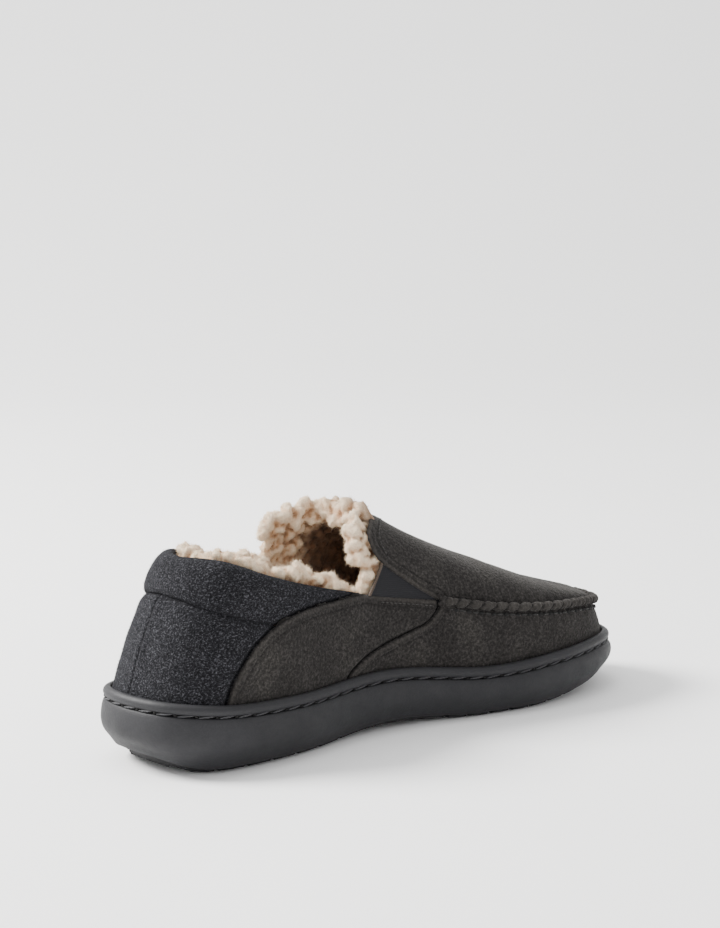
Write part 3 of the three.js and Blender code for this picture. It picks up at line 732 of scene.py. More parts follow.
def addStudio():
    bm = bmesh.new()
    bmesh.ops.create_grid(bm, x_segments=4, y_segments=60, size=4)
    away = math.radians(cameraLook["azimuth"])
    start, radius = studio["sweepStart"], studio["sweepRadius"]
    for v in bm.verts:
        run = v.co.y - start
        if run > 0:  # the floor sweeps up behind the object
            bend = min(run, radius) / radius
            v.co.y = start + radius * math.sin(bend * math.pi / 2) * .9
            v.co.z = radius * (1 - math.cos(bend * math.pi / 2)) + max(run - radius, 0)
    bmesh.ops.rotate(bm, verts=bm.verts, cent=(0, 0, 0), matrix=Matrix.Rotation(away, 3, "Z"))
    bmesh.ops.translate(bm, verts=bm.verts, vec=(0, 0, -studio["floorDrop"]))
    material, tree, shader = newMaterial("floorPaper", {"Roughness": .9})
    paper = studio["floorGray"]
    tone = ramp(tree, noiseOf(tree, 400, 2), (.3, gray(paper - .01)), (.7, gray(paper + .01)))
    tree.links.new(tone, shader.inputs["Base Color"])
    finishMesh("floor", bm, material)
    world = bpy.data.worlds.new("studioWorld")
    world.use_nodes = True
    sky = world.node_tree.nodes["Background"]
    sky.inputs["Color"].default_value = (1, 1, 1, 1)
    sky.inputs["Strength"].default_value = studio["worldStrength"]
    bpy.context.scene.world = world
    addArea("keyLight", (-1.05, 1.15, 1.42), (0, 0, .03), .9, studio["key"], (1, .99, .97))
    addArea("fillLight", (-1.2, -1.1, .9), (0, 0, .04), 1.2, studio["fill"])
    addArea("topLight", (-.1, .5, 2.0), (0, 0, .05), 1.8, studio["top"])


addCamera()
addStudio()
print("camera and studio made")


# the sole unit
soleLook = {"steps": 360, "treadSteps": 300, "grooveWide": 3.2, "grooveDeep": 1.8, "lipUp": 1.5,
            "stitchPitch": 9.6, "stitchSize": (3.9, .52, .52), "stitchTilt": .12, "holeSize": (.8, .5, .6)}


def through(stations, v):
    # a smooth section through stations, each an inset and a height for every corner
    at = np.clip(v, 0, 1) * (len(stations) - 1)
    i = np.minimum(at.astype(int), len(stations) - 2)
    f = at - i
    table = np.array([np.stack([a + 0 * v, b + 0 * v], 1) for a, b in stations])
    pick = lambda j: table[np.clip(j, 0, len(stations) - 1), np.arange(len(v))]
    a, b = pick(i), pick(i + 1)
    return hermite(f[:, None], a, b, (b - pick(i - 1)) / 2, (pick(i + 2) - a) / 2)


def crowdHeelAndToe(u):
    return u - .3 * np.sin(4 * np.pi * u) / (4 * np.pi)


def closeEnds(piece, below=None, above=None):
    # below and above are height curves, each with a lift, for closing faces that must follow the sole's bends
    bm = bmesh.new()
    bm.from_mesh(piece.data)
    isEnd = bm.faces.layers.int.new("isEnd")
    filled = bmesh.ops.holes_fill(bm, edges=[e for e in bm.edges if e.is_boundary], sides=0)["faces"]
    ends = bmesh.ops.triangulate(bm, faces=filled, quad_method="BEAUTY", ngon_method="EAR_CLIP")["faces"]
    for face in ends:
        face[isEnd] = 1
    bmesh.ops.recalc_face_normals(bm, faces=bm.faces)
    if below:
        for x in range(-146, 148, 6):
            ends = [f for f in bm.faces if f[isEnd]]
            parts = ends + list({e for f in ends for e in f.edges}) + list({v for f in ends for v in f.verts})
            bmesh.ops.bisect_plane(bm, geom=parts, dist=1e-7, plane_co=(x * mm, 0, 0), plane_no=(1, 0, 0))
        bm.normal_update()
        for v in bm.verts:
            if all(f[isEnd] for f in v.link_faces):
                knots, lift = below if v.normal.z < 0 else above
                z = lineCurve(knots, np.array([v.co.x / mm + middle[0]]))[0, 0]
                v.co.z = (max(z, 0) + lift) * mm
    bm.to_mesh(piece.data)
    bm.free()
    return piece


def cupPoint(u, v):
    s = crowdHeelAndToe(u)
    inset = heightAt(treadInsetKnots, s)
    low = groundHeight(s) + lastSize["treadThick"]
    rim, floor, wall = rimHeight(s), floorHeight(s), lastSize["upperInset"] - .4
    up = lambda share: low + (rim - low) * share
    lip = groundHeight(s) + soleLook["lipUp"]  # the cup wraps round the tread's edge
    stations = [(inset + 14, low + .3), (inset + .3, low + .3), (inset + .1, lip + .3), (inset - .9, lip),
                (inset * .62, lip + 1.1), (inset * .36, up(.14)),
                (inset * .1, up(.34)), (0, up(.55)), (.3, up(.78)), (1.2, up(1) - 1.1), (2.3, rim - .1),
                (wall - .4, rim - .1), (wall, rim - .4), (wall, floor + 2), (wall + 2, floor),
                (wall + 14, floor)]
    p = through(stations, v)
    points = loopPoint(s, p[:, 0], p[:, 1])
    shade = bump(v * 15, 10.6, .5) * .8
    return points, {"shade": shade}


def treadPoint(u, v):
    s = crowdHeelAndToe(u)
    inset, low = heightAt(treadInsetKnots, s), groundHeight(s)
    p = through([(inset + 1.2, low), (inset + .3, low + .3), (inset, low + .9), (inset - .9, low + 3.5)], v)
    return loopPoint(s, p[:, 0], p[:, 1])


def weltPoint(u, v):
    s = crowdHeelAndToe(u)
    section = [[0, 3.6, .35], [.13, 2.2, .95], [.26, 1.5, 1.9], [.38, 1.25, 3.4], [.5, 1.9, 4.8],
               [.62, 3.1, 5.6], [.73, 4.3, 5.6], [.8, 4.85, 5.0], [.93, 4.9, .8]]
    p = loopCurve(section, v)
    points = loopPoint(s, p[:, 0], rimHeight(s) + p[:, 1])
    wave = smoothNoise(points, 22, 5) * .12
    points[:, 2] += wave
    return points, {"shade": bump(v, .04, .09) + bump(v, 1.0, .08) + bump(v, .8, .04) * .5}


def addSole():
    thick = lastSize["treadThick"]
    cup = gridSurface("soleCup", cupPoint, soleLook["steps"], 52, cupRubber, welded=True)
    ride(closeEnds(cup, (groundKnots, thick + .3), (floorKnots, 0)), "sole_rubber", "midsole_cup")
    tread = gridSurface("soleTread", treadPoint, soleLook["treadSteps"], 6, treadRubber, welded=True)
    closeEnds(tread, (groundKnots, 0), (groundKnots, thick))
    bm = bmesh.new()
    for x in [*range(18, 109, 15), *range(172, 293, 12)]:
        z = lineCurve(groundKnots, np.array([float(x)]))[0, 0]
        at = place(np.array([[x, 0, z + soleLook["grooveDeep"] - 6]]))[0]
        size = Matrix.Diagonal((soleLook["grooveWide"] * mm, .2, 12 * mm, 1))
        bmesh.ops.create_cube(bm, size=1, matrix=Matrix.Translation(at) @ size)
    bars = finishMesh("treadGrooves", bm, treadRubber, smooth=False)
    cut = tread.modifiers.new("grooves", "BOOLEAN")
    cut.operation, cut.object, cut.solver = "DIFFERENCE", bars, "EXACT"
    soft = tread.modifiers.new("softEdges", "BEVEL")
    soft.width, soft.segments, soft.limit_method, soft.angle_limit = .3 * mm, 2, "ANGLE", math.radians(40)
    made = evaluated(tread)
    tread.modifiers.clear()
    tread.data = made
    made.set_sharp_from_angle(angle=math.radians(35))
    bpy.data.objects.remove(bars)
    ride(tread, "tread_rubber", "outsole_tread")
    welt = gridSurface("weltStrip", weltPoint, soleLook["steps"], 28, weltRubber, welded=True)
    ride(welt, "sole_rubber", "welt")
    s = crowdHeelAndToe(np.linspace(0, 1, 1500))
    path = loopPoint(s, 1.95, rimHeight(s) + .7)
    out = path - loopPoint(s, 4, rimHeight(s) - .4)
    pitch, size = soleLook["stitchPitch"], soleLook["stitchSize"]
    ride(rowOfBalls("weltStitches", path, out, pitch, size, soleThread, lift=soleLook["stitchTilt"]),
         "thread", "welt_stitch")
    # painted shade in the welt's stitch holes
    ride(rowOfBalls("weltStitchHoles", path - out * .05, out, pitch, soleLook["holeSize"], holeShade, 0),
         "sole_rubber")


# the insole stack
def bedPoint(low, thick, inset):
    def point(u, v):
        s = crowdHeelAndToe(u)
        z = floorHeight(s) + low
        p = through([(inset + 6, z), (inset + thick * .4, z), (inset, z + thick * .3),
                     (inset, z + thick * .7),
                     (inset + thick * .4, z + thick), (inset + 6, z + thick)], v)
        return loopPoint(s, p[:, 0], p[:, 1])
    return point


bedLook = {"board": 1.5, "foam": 4.5, "sock": 5, "inset": 16.4}


def addInsoles():
    up = bedLook["board"] + .6
    foamPoint = bedPoint(up, bedLook["foam"], bedLook["inset"] + .4)
    foam = closeEnds(gridSurface("footbedFoam", foamPoint, 160, 16, foamLook, welded=True))
    ride(foam, "foam", "footbed_foam")


# panels of the upper
def easeEnds(u, amount=.6):
    return (1 - amount) * u + amount * (1 - np.cos(np.pi * u)) / 2


def step(low, high, x):
    t = np.clip((x - low) / (high - low), 0, 1)
    return t * t * (3 - 2 * t)


def rolled(d, radius, drop):
    # a folded edge: falls away over the last radius millimetres
    t = np.clip(1 - d / radius, 0, 1)
    return -drop * (1 - np.sqrt(1 - t**2))


def foldedBand(d, wide=4.3):
    return (np.where(d < wide, .22 * np.sin(np.pi * np.clip(d / wide, 0, 1))**.7, 0)
            - .24 * bump(d, wide + .3, .5)
            + .14 * bump(d, wide + 1.9, 1.3) - .1 * bump(d, wide * .5, .5) + rolled(d, 1.0, 1.4))


seamLook = {"pitch": 7.2, "radius": 2.25, "tall": 2.35, "pinch": .3, "out": 1.6, "drop": .7,
            "threadDrop": 4.55, "threadSize": (1.9, .62, .62), "holeSize": (1.5, .95, .5)}
seamShare = np.linspace(goreTip + .004, 1 - goreTip - .004, 900)
seamPath = under(seamShare, 1 - seamLook["drop"] / wallRise(seamShare), 0)
seamGone = distanceAlong(seamPath)
seamLook["pitch"] = seamGone[-1] / round(seamGone[-1] / seamLook["pitch"])  # a whole number of gathers


def pleats(share):
    # 1 at each pinch of the apron seam, 0 between two
    return .5 + .5 * np.cos(2 * np.pi * np.interp(share, seamShare, seamGone) / seamLook["pitch"])


def gathers(share, distance, deep, reach):
    # puckers of a panel where it is drawn into the apron seam
    inSeam = step(goreTip - .002, goreTip + .008, share) * step(goreTip - .002, goreTip + .008, 1 - share)
    return -deep * pleats(share) * np.exp(-distance / reach) * inSeam


def settle(fromEdge, toEdge, u, levelOf, passes=5):
    level = levelOf(np.zeros_like(u))
    for _ in range(passes):
        share = fromEdge(level) + (toEdge(level) - fromEdge(level)) * u
        level = levelOf(share)
    return share, level


quarterTuck = .007  # how far a quarter runs in under the toe wall, as a share


def addQuarter(side):
    topLine = skinPoint(onSide(np.linspace(.236, .302, 300), side), np.ones(300))
    rearLine = np.concatenate([linePoints(lambda level: onSide(archLine(level), side), -.6, 1.0), topLine])
    frontLine = linePoints(lambda level: onSide(toeWallLine(level), side), -.6, 1.0)

    def point(u, v):
        level = -.3 + 1.3 * easeEnds(v, .5)
        rear, front = archLine(level), toeWallLine(level)
        share = rear + (front + quarterTuck - rear) * easeEnds(u)
        hidden = share > front
        share = onSide(share, side)
        skin = skinPoint(share, level)
        dRear, dFront, dTop = (distanceTo(skin, line) for line in (rearLine, frontLine, topLine))
        raised = .75 * (1 - step(3, 16, dRear)) * step(2, 14, dTop) + foldedBand(dRear)
        raised += -1.3 * np.where(hidden, 1, step(2.2, 0, dFront))
        raised += smoothNoise(skin, 24, 11) * .45 + smoothNoise(skin, 9, 12) * .12
        # painted shade in the groove behind the rear band and along the edges; a painted highlight, partly
        # rubbed nap, on the band's crest and the top edge
        shade = .35 * bump(dRear, 4.65, .5) + .8 * bump(dFront, 0, .9) + .7 * bump(dRear, 0, .4)
        worn = .3 * bump(dRear, 1.6, .9) + .3 * bump(dTop, .8, .7)
        return under(share, level, -raised), {"shade": np.clip(shade, 0, 1), "worn": worn}

    piece = faceOutwards(gridSurface("quarter" + side.capitalize(), point, 130, 96, suede))
    addThickness(piece, 1.3)
    ride(piece, "suede", "quarter_" + side)


def faceOutwards(piece):
    # open sheets: their faces point away from the last's middle line
    mesh = piece.data
    centre, normal = readAll(mesh.polygons, "center", 3), readAll(mesh.polygons, "normal", 3)
    x = np.clip(centre[:, 0], -.1, .1)
    inside = np.column_stack([x, 0 * x, 0 * x + .035])
    if ((centre - inside) * normal).sum() < 0:
        mesh.flip_normals()
    return piece


def addToeWall():
    rearMedial = linePoints(toeWallLine, -.6, 1.0)
    rearLateral = linePoints(lambda level: 1 - toeWallLine(level), -.6, 1.0)
    topLine = skinPoint(np.linspace(.302, .698, 500), np.ones(500))

    def point(u, v):
        level = -.3 + 1.3 * easeEnds(v, .5)
        share = toeWallLine(level) + (1 - 2 * toeWallLine(level)) * easeEnds(u, .15)
        skin = skinPoint(share, level)
        dTop = distanceTo(skin, topLine)
        dRear = np.minimum(distanceTo(skin, rearMedial), distanceTo(skin, rearLateral))
        raised = .6 * (1 - step(3, 14, dRear)) + foldedBand(dRear, 3.9)
        raised += gathers(share, dTop, .95, 4.5) + .5 * bump(dTop, 0, 3)
        raised += smoothNoise(skin, 26, 21) * .5 + smoothNoise(skin, 9, 22) * .12
        # painted shade behind the rear band, at its edge and between the pleats; a painted highlight, partly
        # rubbed nap, on the band's crest
        shade = .3 * bump(dRear, 4.2, .5) + .7 * bump(dRear, 0, .4)
        shade = shade + .35 * pleats(share) * np.exp(-dTop / 3.0)
        return under(share, level, -raised), {"shade": np.clip(shade, 0, 1),
                                              "worn": .3 * bump(dRear, 1.5, .9)}

    piece = faceOutwards(gridSurface("toeWall", point, 420, 96, suede))
    addThickness(piece, 1.6)
    ride(piece, "suede", "toe_wall")


def apronEdges():
    # the stretches beside the gores, then those along the opening
    for low, high, count in ((1, gorePeak, 160), (gorePeak, 2, 300)):
        level = np.linspace(low, high, count)
        yield np.concatenate([skinPoint(onSide(edge(level), side), level) for side, edge in apronSides])


def addApron():
    goreLine, rearLine = apronEdges()
    seamLine = skinPoint(np.linspace(.3, .7, 600), np.ones(600))

    def point(u, v):
        level = 1 + easeEnds(v, .35)
        a, b = apronMedial(level), 1 - apronLateral(level)
        share = a + (b - a) * easeEnds(u, .25)
        skin = skinPoint(share, level)
        dGore, dRear, dSeam = (distanceTo(skin, line) for line in (goreLine, rearLine, seamLine))
        edge = np.minimum(dGore, dRear)
        hem = np.where(edge < 4.8, np.sin(np.pi * np.clip(edge / 4.8, 0, 1))**.6, 0)
        raised = .55 * (1 - step(3, 12, edge)) + .2 * hem
        raised += -.28 * bump(edge, 5.0, .5) + rolled(edge, 1.1, 1.3) - .16 * bump(edge, 2.2, .5)
        raised += gathers(share, dSeam, .7, 4.0) + .35 * bump(dSeam, 0, 3)
        raised += smoothNoise(skin, 30, 31) * .55 + smoothNoise(skin, 10, 32) * .14
        # painted shade in the hem's grooves and between the pleats; a painted highlight, partly rubbed nap,
        # on the rolled edge's crest
        shade = .4 * bump(edge, 5.0, .5) + .25 * bump(edge, 2.2, .4)
        shade = shade + .3 * pleats(share) * np.exp(-dSeam / 2.5)
        return under(share, level, -raised), {"shade": np.clip(shade, 0, 1), "worn": .4 * bump(edge, .9, .8)}

    piece = faceOutwards(gridSurface("apronPanel", point, 400, 112, suede, welded=True))
    addThickness(piece, 1.8)
    ride(piece, "suede", "apron")


stitchLook = {"pitch": 2.6, "size": (1.0, .27, .27), "below": 3.4}


def addTopstitches():
    rows = []
    level = np.linspace(1.03, gorePeak, 200)
    for side, edge in apronSides:
        for inwards in (.0065, .0135):
            rows.append((onSide(edge(level) + inwards, side), level))
    level = np.linspace(gorePeak, 2, 300)
    for side, edge in apronSides:
        rows.append((onSide(edge(level) + .012, side), level))
    for side, _ in apronSides:
        share = np.linspace(.25, .296, 200)
        line = 1 - stitchLook["below"] / wallRise(share)
        rows.append((onSide(share, side), line))
    found = []
    for share, level in rows:
        path = under(share, level, -.32)
        points, along, normals = evenly(path, skinNormal(share, level), stitchLook["pitch"])
        found.append(placesFrom(points, along, normals, stitchLook["size"]))
    ride(copiesOf("topstitches", ballPattern(6, 5), np.concatenate(found), suedeThread), "thread")


# the wool heel and its padded collar
woolShape = {"tuck": 1.3, "seamRidge": .45, "bulge": 3.3}


def addHeelPanels():
    arch = {"medial": linePoints(archLine, -.6, 1.0),
            "lateral": linePoints(lambda l: 1 - archLine(l), -.6, 1.0)}
    level = np.linspace(-.6, 1, 300)
    backLine = skinPoint(0 * level, level)
    creaseShare = np.linspace(-.17, .17, 400)
    creaseLine = skinPoint(creaseShare, creaseLevel(creaseShare), True)
    for side in ("medial", "lateral"):
        flip = side == "lateral"

        def point(u, v):
            t = -.3 + 1.34 * easeEnds(v, .3)
            toArch = lambda l: archLine(l) + .01
            share, level = settle(lambda l: 0 * l, toArch, easeEnds(u, .3),
                                  lambda s: np.where(t < 0, t, t * creaseLevel(s)))
            share = np.where(flip, -share, share)
            skin = skinPoint(share, level, True)
            dArch, dBack, dCrease = (distanceTo(skin, line) for line in (arch[side], backLine, creaseLine))
            covered = np.abs(share) > archLine(level)
            raised = -1.7 * np.where(covered, 1, step(2.6, 0, dArch))
            tucked = step(5.5, 0, dCrease) * .8 + .6 * step(2.5, 0, dCrease)
            raised += -woolShape["tuck"] * tucked + .4 * bump(dCrease, 7.5, 4)
            raised += woolShape["seamRidge"] * bump(dBack, 1.6, 1.5) - .25 * bump(dBack, 0, .45)
            raised += smoothNoise(skin, 22, 41) * .5 + smoothNoise(skin, 7, 42) * .15
            shade = .7 * bump(dCrease, 0, 1.6) + .55 * bump(dArch, 0, 1.0) + .15 * bump(dBack, 0, .35)
            return under(share, level, -raised, True), {"shade": np.clip(shade, 0, 1)}

        piece = faceOutwards(gridSurface("heelPanel" + side.capitalize(), point, 110, 110, wool))
        addThickness(piece, 1.2)
        ride(piece, "wool_felt", "heel_panel_" + side)


def addCollar():
    section = [[0, -.04, 1.5], [.08, -.055, -.2], [.17, .06, -2.3], [.3, .32, -3.7], [.45, .62, -3.9],
               [.58, .86, -2.9], [.68, 1.0, -1.0], [.76, 1.04, 1.2], [.84, .97, 3.0], [.9, .6, 3.7],
               [.96, .2, 3.4]]
    arches = np.concatenate([linePoints(archLine, .3, 1.0), linePoints(lambda l: 1 - archLine(l), .3, 1.0)])

    def point(u, v):
        p = loopCurve(section, v)
        w = easeEnds(u, .3)
        share, level = settle(lambda l: -archLine(l) - .008, lambda l: archLine(l) + .008, w,
                              lambda s: creaseLevel(s) + (1 - creaseLevel(s)) * p[:, 0])
        skin = skinPoint(share, level, True)
        dArch = distanceTo(skin, arches)
        covered = np.abs(share) > archLine(np.minimum(level, 1))
        swell = np.where(covered, 0, step(0, 26, dArch))
        depth = np.where(p[:, 1] < 0, p[:, 1] * swell * woolShape["bulge"] / 3.9, p[:, 1])
        depth = depth + 1.7 * np.where(covered, 1, step(2.6, 0, dArch))
        depth = depth - smoothNoise(skin, 17, 51) * .45 - smoothNoise(skin, 6, 52) * .14
        shade = .8 * bump(v, .02, .06) + .8 * bump(v, 1.0, .05) + .55 * bump(dArch, 0, 1.0)
        return under(share, level, depth, True), {"shade": np.clip(shade, 0, 1)}

    piece = gridSurface("collarRoll", point, 300, 56, wool, welded=True)
    ride(closeEnds(piece), "wool_felt", "collar", "collar_foam")


def scatterOn(pieces, count, seed, layer=None):
    # random points on the pieces' faces, with their normals and a value of one attribute
    rng = np.random.default_rng(seed)
    corners, normals, values = [], [], []
    for piece in pieces:
        mesh = evaluated(piece)
        mesh.calc_loop_triangles()
        tris = readAll(mesh.loop_triangles, "vertices", 3, np.int32)
        co, _ = meshArrays(mesh)
        corners.append(co[tris])
        normals.append(meshNormals(mesh)[tris])
        data = np.zeros(len(co), np.float32)
        if layer and layer in mesh.attributes:
            mesh.attributes[layer].data.foreach_get("value", data)
        values.append(data[tris])
        bpy.data.meshes.remove(mesh)
    corners, normals, values = (np.concatenate(x) for x in (corners, normals, values))
    area = np.linalg.norm(np.cross(corners[:, 1] - corners[:, 0], corners[:, 2] - corners[:, 0]), axis=1)
    pick = rng.choice(len(area), count, p=area / area.sum())
    w = rng.dirichlet((1, 1, 1), count)
    blend = lambda x: (x[pick] * w.reshape(count, 3, *([1] * (x.ndim - 2)))).sum(1)
    return blend(corners), blend(normals), blend(values), rng


hairRoot = .15  # millimetres of a fibre that are in the cloth


def addHairs(name, pieces, look, material, slot, clear=0, layer=None):
    points, normals, values, rng = scatterOn(pieces, look["count"], look["seed"], layer)
    normals /= np.maximum(np.linalg.norm(normals, axis=1), 1e-9)[:, None]
    if clear:  # no fibres where they would come out through the suede
        kept = [sheets.find_nearest(Vector(p), clear * mm)[0] is None for p in points]
        points, normals, values = points[kept], normals[kept], values[kept]
    n = len(points)
    wild = rng.normal(size=(n, 3))
    wild = unit(wild - normals * (wild * normals).sum(1)[:, None])
    lean = rng.uniform(*look["lean"], n)[:, None]
    direction = normals * (1 - lean) + wild * lean
    side = rng.normal(size=(n, 3))
    long = rng.uniform(*look["long"], n)
    size = np.column_stack([np.full(n, look["thick"]), np.full(n, look["thick"]), long])
    z = unit(direction)
    x = unit(side - z * (side * z).sum(1)[:, None])
    places = placesAt(points - z * hairRoot * mm, (x, np.cross(z, x), z), size)
    extra = {"tone": rng.uniform(0, 1, n)**1.6, "crest": np.clip(values + .12, 0, 1),
             "deep": howDeep(points / mm + middle)}
    return ride(copiesOf(name, hairPattern(), places, material, extra), slot)


# the gathered seam
def addSeam():
    normal = skinNormal(seamShare, np.full_like(seamShare, .985), band=.05)
    tangent = unit(np.gradient(seamPath, axis=0))
    across = np.cross(tangent, normal)

    def point(u, v):
        gone = u * seamGone[-1]
        pick = lambda values: np.column_stack([np.interp(gone, seamGone, values[:, c]) for c in range(3)])
        angle = 2 * np.pi * v
        sheared = gone + 1.5 * np.cos(angle) + .25 * np.sin(gone * 1.9) + .3 * np.sin(gone * .61)
        phase = np.mod(sheared / seamLook["pitch"] + .5, 1) - .5
        pinch = 1 - seamLook["pinch"] * np.exp(-(phase * seamLook["pitch"] / 1.0)**2)
        end = np.sqrt(np.clip(1 - (1 - np.minimum(gone, seamGone[-1] - gone) / 3.0).clip(0)**2, 0, 1))
        size = pinch * end * (1 + .08 * np.sin(gone * .83) + .05 * np.sin(gone * 2.3))
        centre, n, a = pick(seamPath), pick(normal), pick(across)
        points = (centre + n * (seamLook["out"] * (.6 + .4 * end))[:, None]
                  + n * (np.sin(angle) * seamLook["tall"] * size)[:, None]
                  + a * (np.cos(angle) * seamLook["radius"] * size)[:, None])
        points += n * (smoothNoise(points, 2.6, 61) * .22)[:, None]
        # painted shade in the valleys between the gathers; a painted highlight, partly rubbed nap, on the
        # outer side of each gather
        valley = np.exp(-(phase * seamLook["pitch"] / .75)**2)
        return points, {"shade": .5 * valley,
                        "worn": np.clip(.38 * (1 - valley) * np.maximum(np.sin(angle), 0), 0, 1)}

    ridge = gridSurface("gatheredSeam", point, 1300, 20, suede, welded=True)
    bm = bmesh.new()
    bm.from_mesh(ridge.data)
    bmesh.ops.recalc_face_normals(bm, faces=bm.faces)
    bm.to_mesh(ridge.data)
    bm.free()
    ride(ridge, "suede", "moc_seam_ridge")
    knots = []
    for end in (0, -1):
        at = seamPath[end] + normal[end] * 1.5
        for turn, length in ((.7, 4.6), (-.6, 3.6), (1.9, 3.0)):
            lean = tangent[end] * math.cos(turn) + across[end] * math.sin(turn)
            knots.append((at, lean, length))
    places = [placesFrom(at[None], lean[None], normal[:1], (length, 1.35, 1.35))
              for at, lean, length in knots]
    ride(copiesOf("seamKnots", ballPattern(12, 8), np.concatenate(places), suede), "suede")
    level = 1 - seamLook["threadDrop"] / wallRise(seamShare)
    path, normal = under(seamShare, level, -.35), skinNormal(seamShare, level)
    ride(rowOfBalls("seamStitches", path, normal, seamLook["pitch"], seamLook["threadSize"], seamThread),
         "thread", "moc_seam_thread")
    # painted shade in the seam's stitch holes
    holes = rowOfBalls("seamHoles", path - normal * .1, normal, seamLook["pitch"], seamLook["holeSize"],
                       holeShade, 0)
    ride(holes, "suede")


# elastic gores
goreRib = .95  # millimetres from rib to rib


def addGores():
    for (side, front), rear in zip(apronSides, (goreRearMedial, goreRearLateral)):
        def point(u, v):
            level = .94 + (gorePeak + .02 - .94) * v
            a, b = rear(np.maximum(level, 1)), front(np.maximum(level, 1))
            share = onSide(a - .001 + (b + .008 - a) * u, side)
            skin = skinPoint(share, level)
            height = (skin - wallTop(share))[:, 2]
            shade = .5 * step(.2, 0, v) + .5 * step(.9, 1, u)
            return under(share, level, .45 + .5 * step(.05, 0, v)), {"rib": height / goreRib, "shade": shade}

        piece = faceOutwards(gridSurface("gore" + side.capitalize(), point, 60, 60, goreElastic))
        addThickness(piece, 1.1)
        ride(piece, "elastic", "gore_" + side)
        level = np.linspace(.985, gorePeak + .012, 80)
        path = under(onSide(rear(np.maximum(level, 1)) - .0012, side), level, -.05)
        name = "goreBinding" + side.capitalize()
        curve = bpy.data.curves.new(name, "CURVE")
        curve.dimensions = "3D"
        spline = curve.splines.new("POLY")
        spline.points.add(len(path) - 1)
        for p, q in zip(spline.points, place(path)):
            p.co = (*q, 1)
        curve.bevel_depth, curve.bevel_resolution, curve.use_fill_caps = .75 * mm, 3, True
        holder = addObject(name, curve)
        mesh = evaluated(holder)
        bpy.data.objects.remove(holder)
        dress(mesh, pipingThread)
        ride(addObject(name, mesh), "elastic")


# the curly fleece
fleeceLook = {"voxel": .95, "spacing": 4.6, "radius": (2.1, 3.5), "curl": .85, "pile": 2.4,
              "behindSheets": 2.3}


def thinned(points, spacing, rng):
    # keeps random points that are at least spacing apart
    order = rng.permutation(len(points))
    kept = []
    cells = {}
    for i in order:
        key = tuple((points[i] // spacing).astype(int))
        near = [j for dx in (-1, 0, 1) for dy in (-1, 0, 1) for dz in (-1, 0, 1)
                for j in cells.get((key[0] + dx, key[1] + dy, key[2] + dz), ())]
        if all(np.dot(points[i] - points[j], points[i] - points[j]) > spacing**2 for j in near):
            kept.append(i)
            cells.setdefault(key, []).append(i)
    return np.array(kept)


def slabMesh(point, columns, rows, thick):
    piece = gridSurface("slab", point, columns, rows, fleece, welded=True)
    solid = addThickness(piece, thick, 0)
    mesh = evaluated(solid)
    bpy.data.objects.remove(piece)
    return mesh


def sheetTree(pieces):
    # the outer faces of the upper's sheets, to keep the fleece behind them
    corners, faces = [], []
    for piece in pieces:
        start = len(corners)
        corners += [v.co.copy() for v in piece.data.vertices]
        faces += [[start + i for i in f.vertices] for f in piece.data.polygons]
    return BVHTree.FromPolygons(corners, faces)


def keepUnder(co, edges, depth):
    # moves points that are under a sheet by less than depth millimetres further in
    push = np.zeros_like(co)
    for i, p in enumerate(co):
        hit, normal, _, away = sheets.find_nearest(Vector(p), 5 * mm)
        if hit is None or away < 1e-7:
            continue
        below = (hit - Vector(p)).dot(normal)
        if below < depth * mm and abs(below) > .8 * away:
            push[i] = -np.array(normal) * (depth * mm - below)
    spread = push
    for _ in range(3):  # the neighbours follow, so the pile isn't torn
        spread = neighbourMean(spread, edges)
    return co + np.where((push * push).sum(1)[:, None] > 0, push, spread)


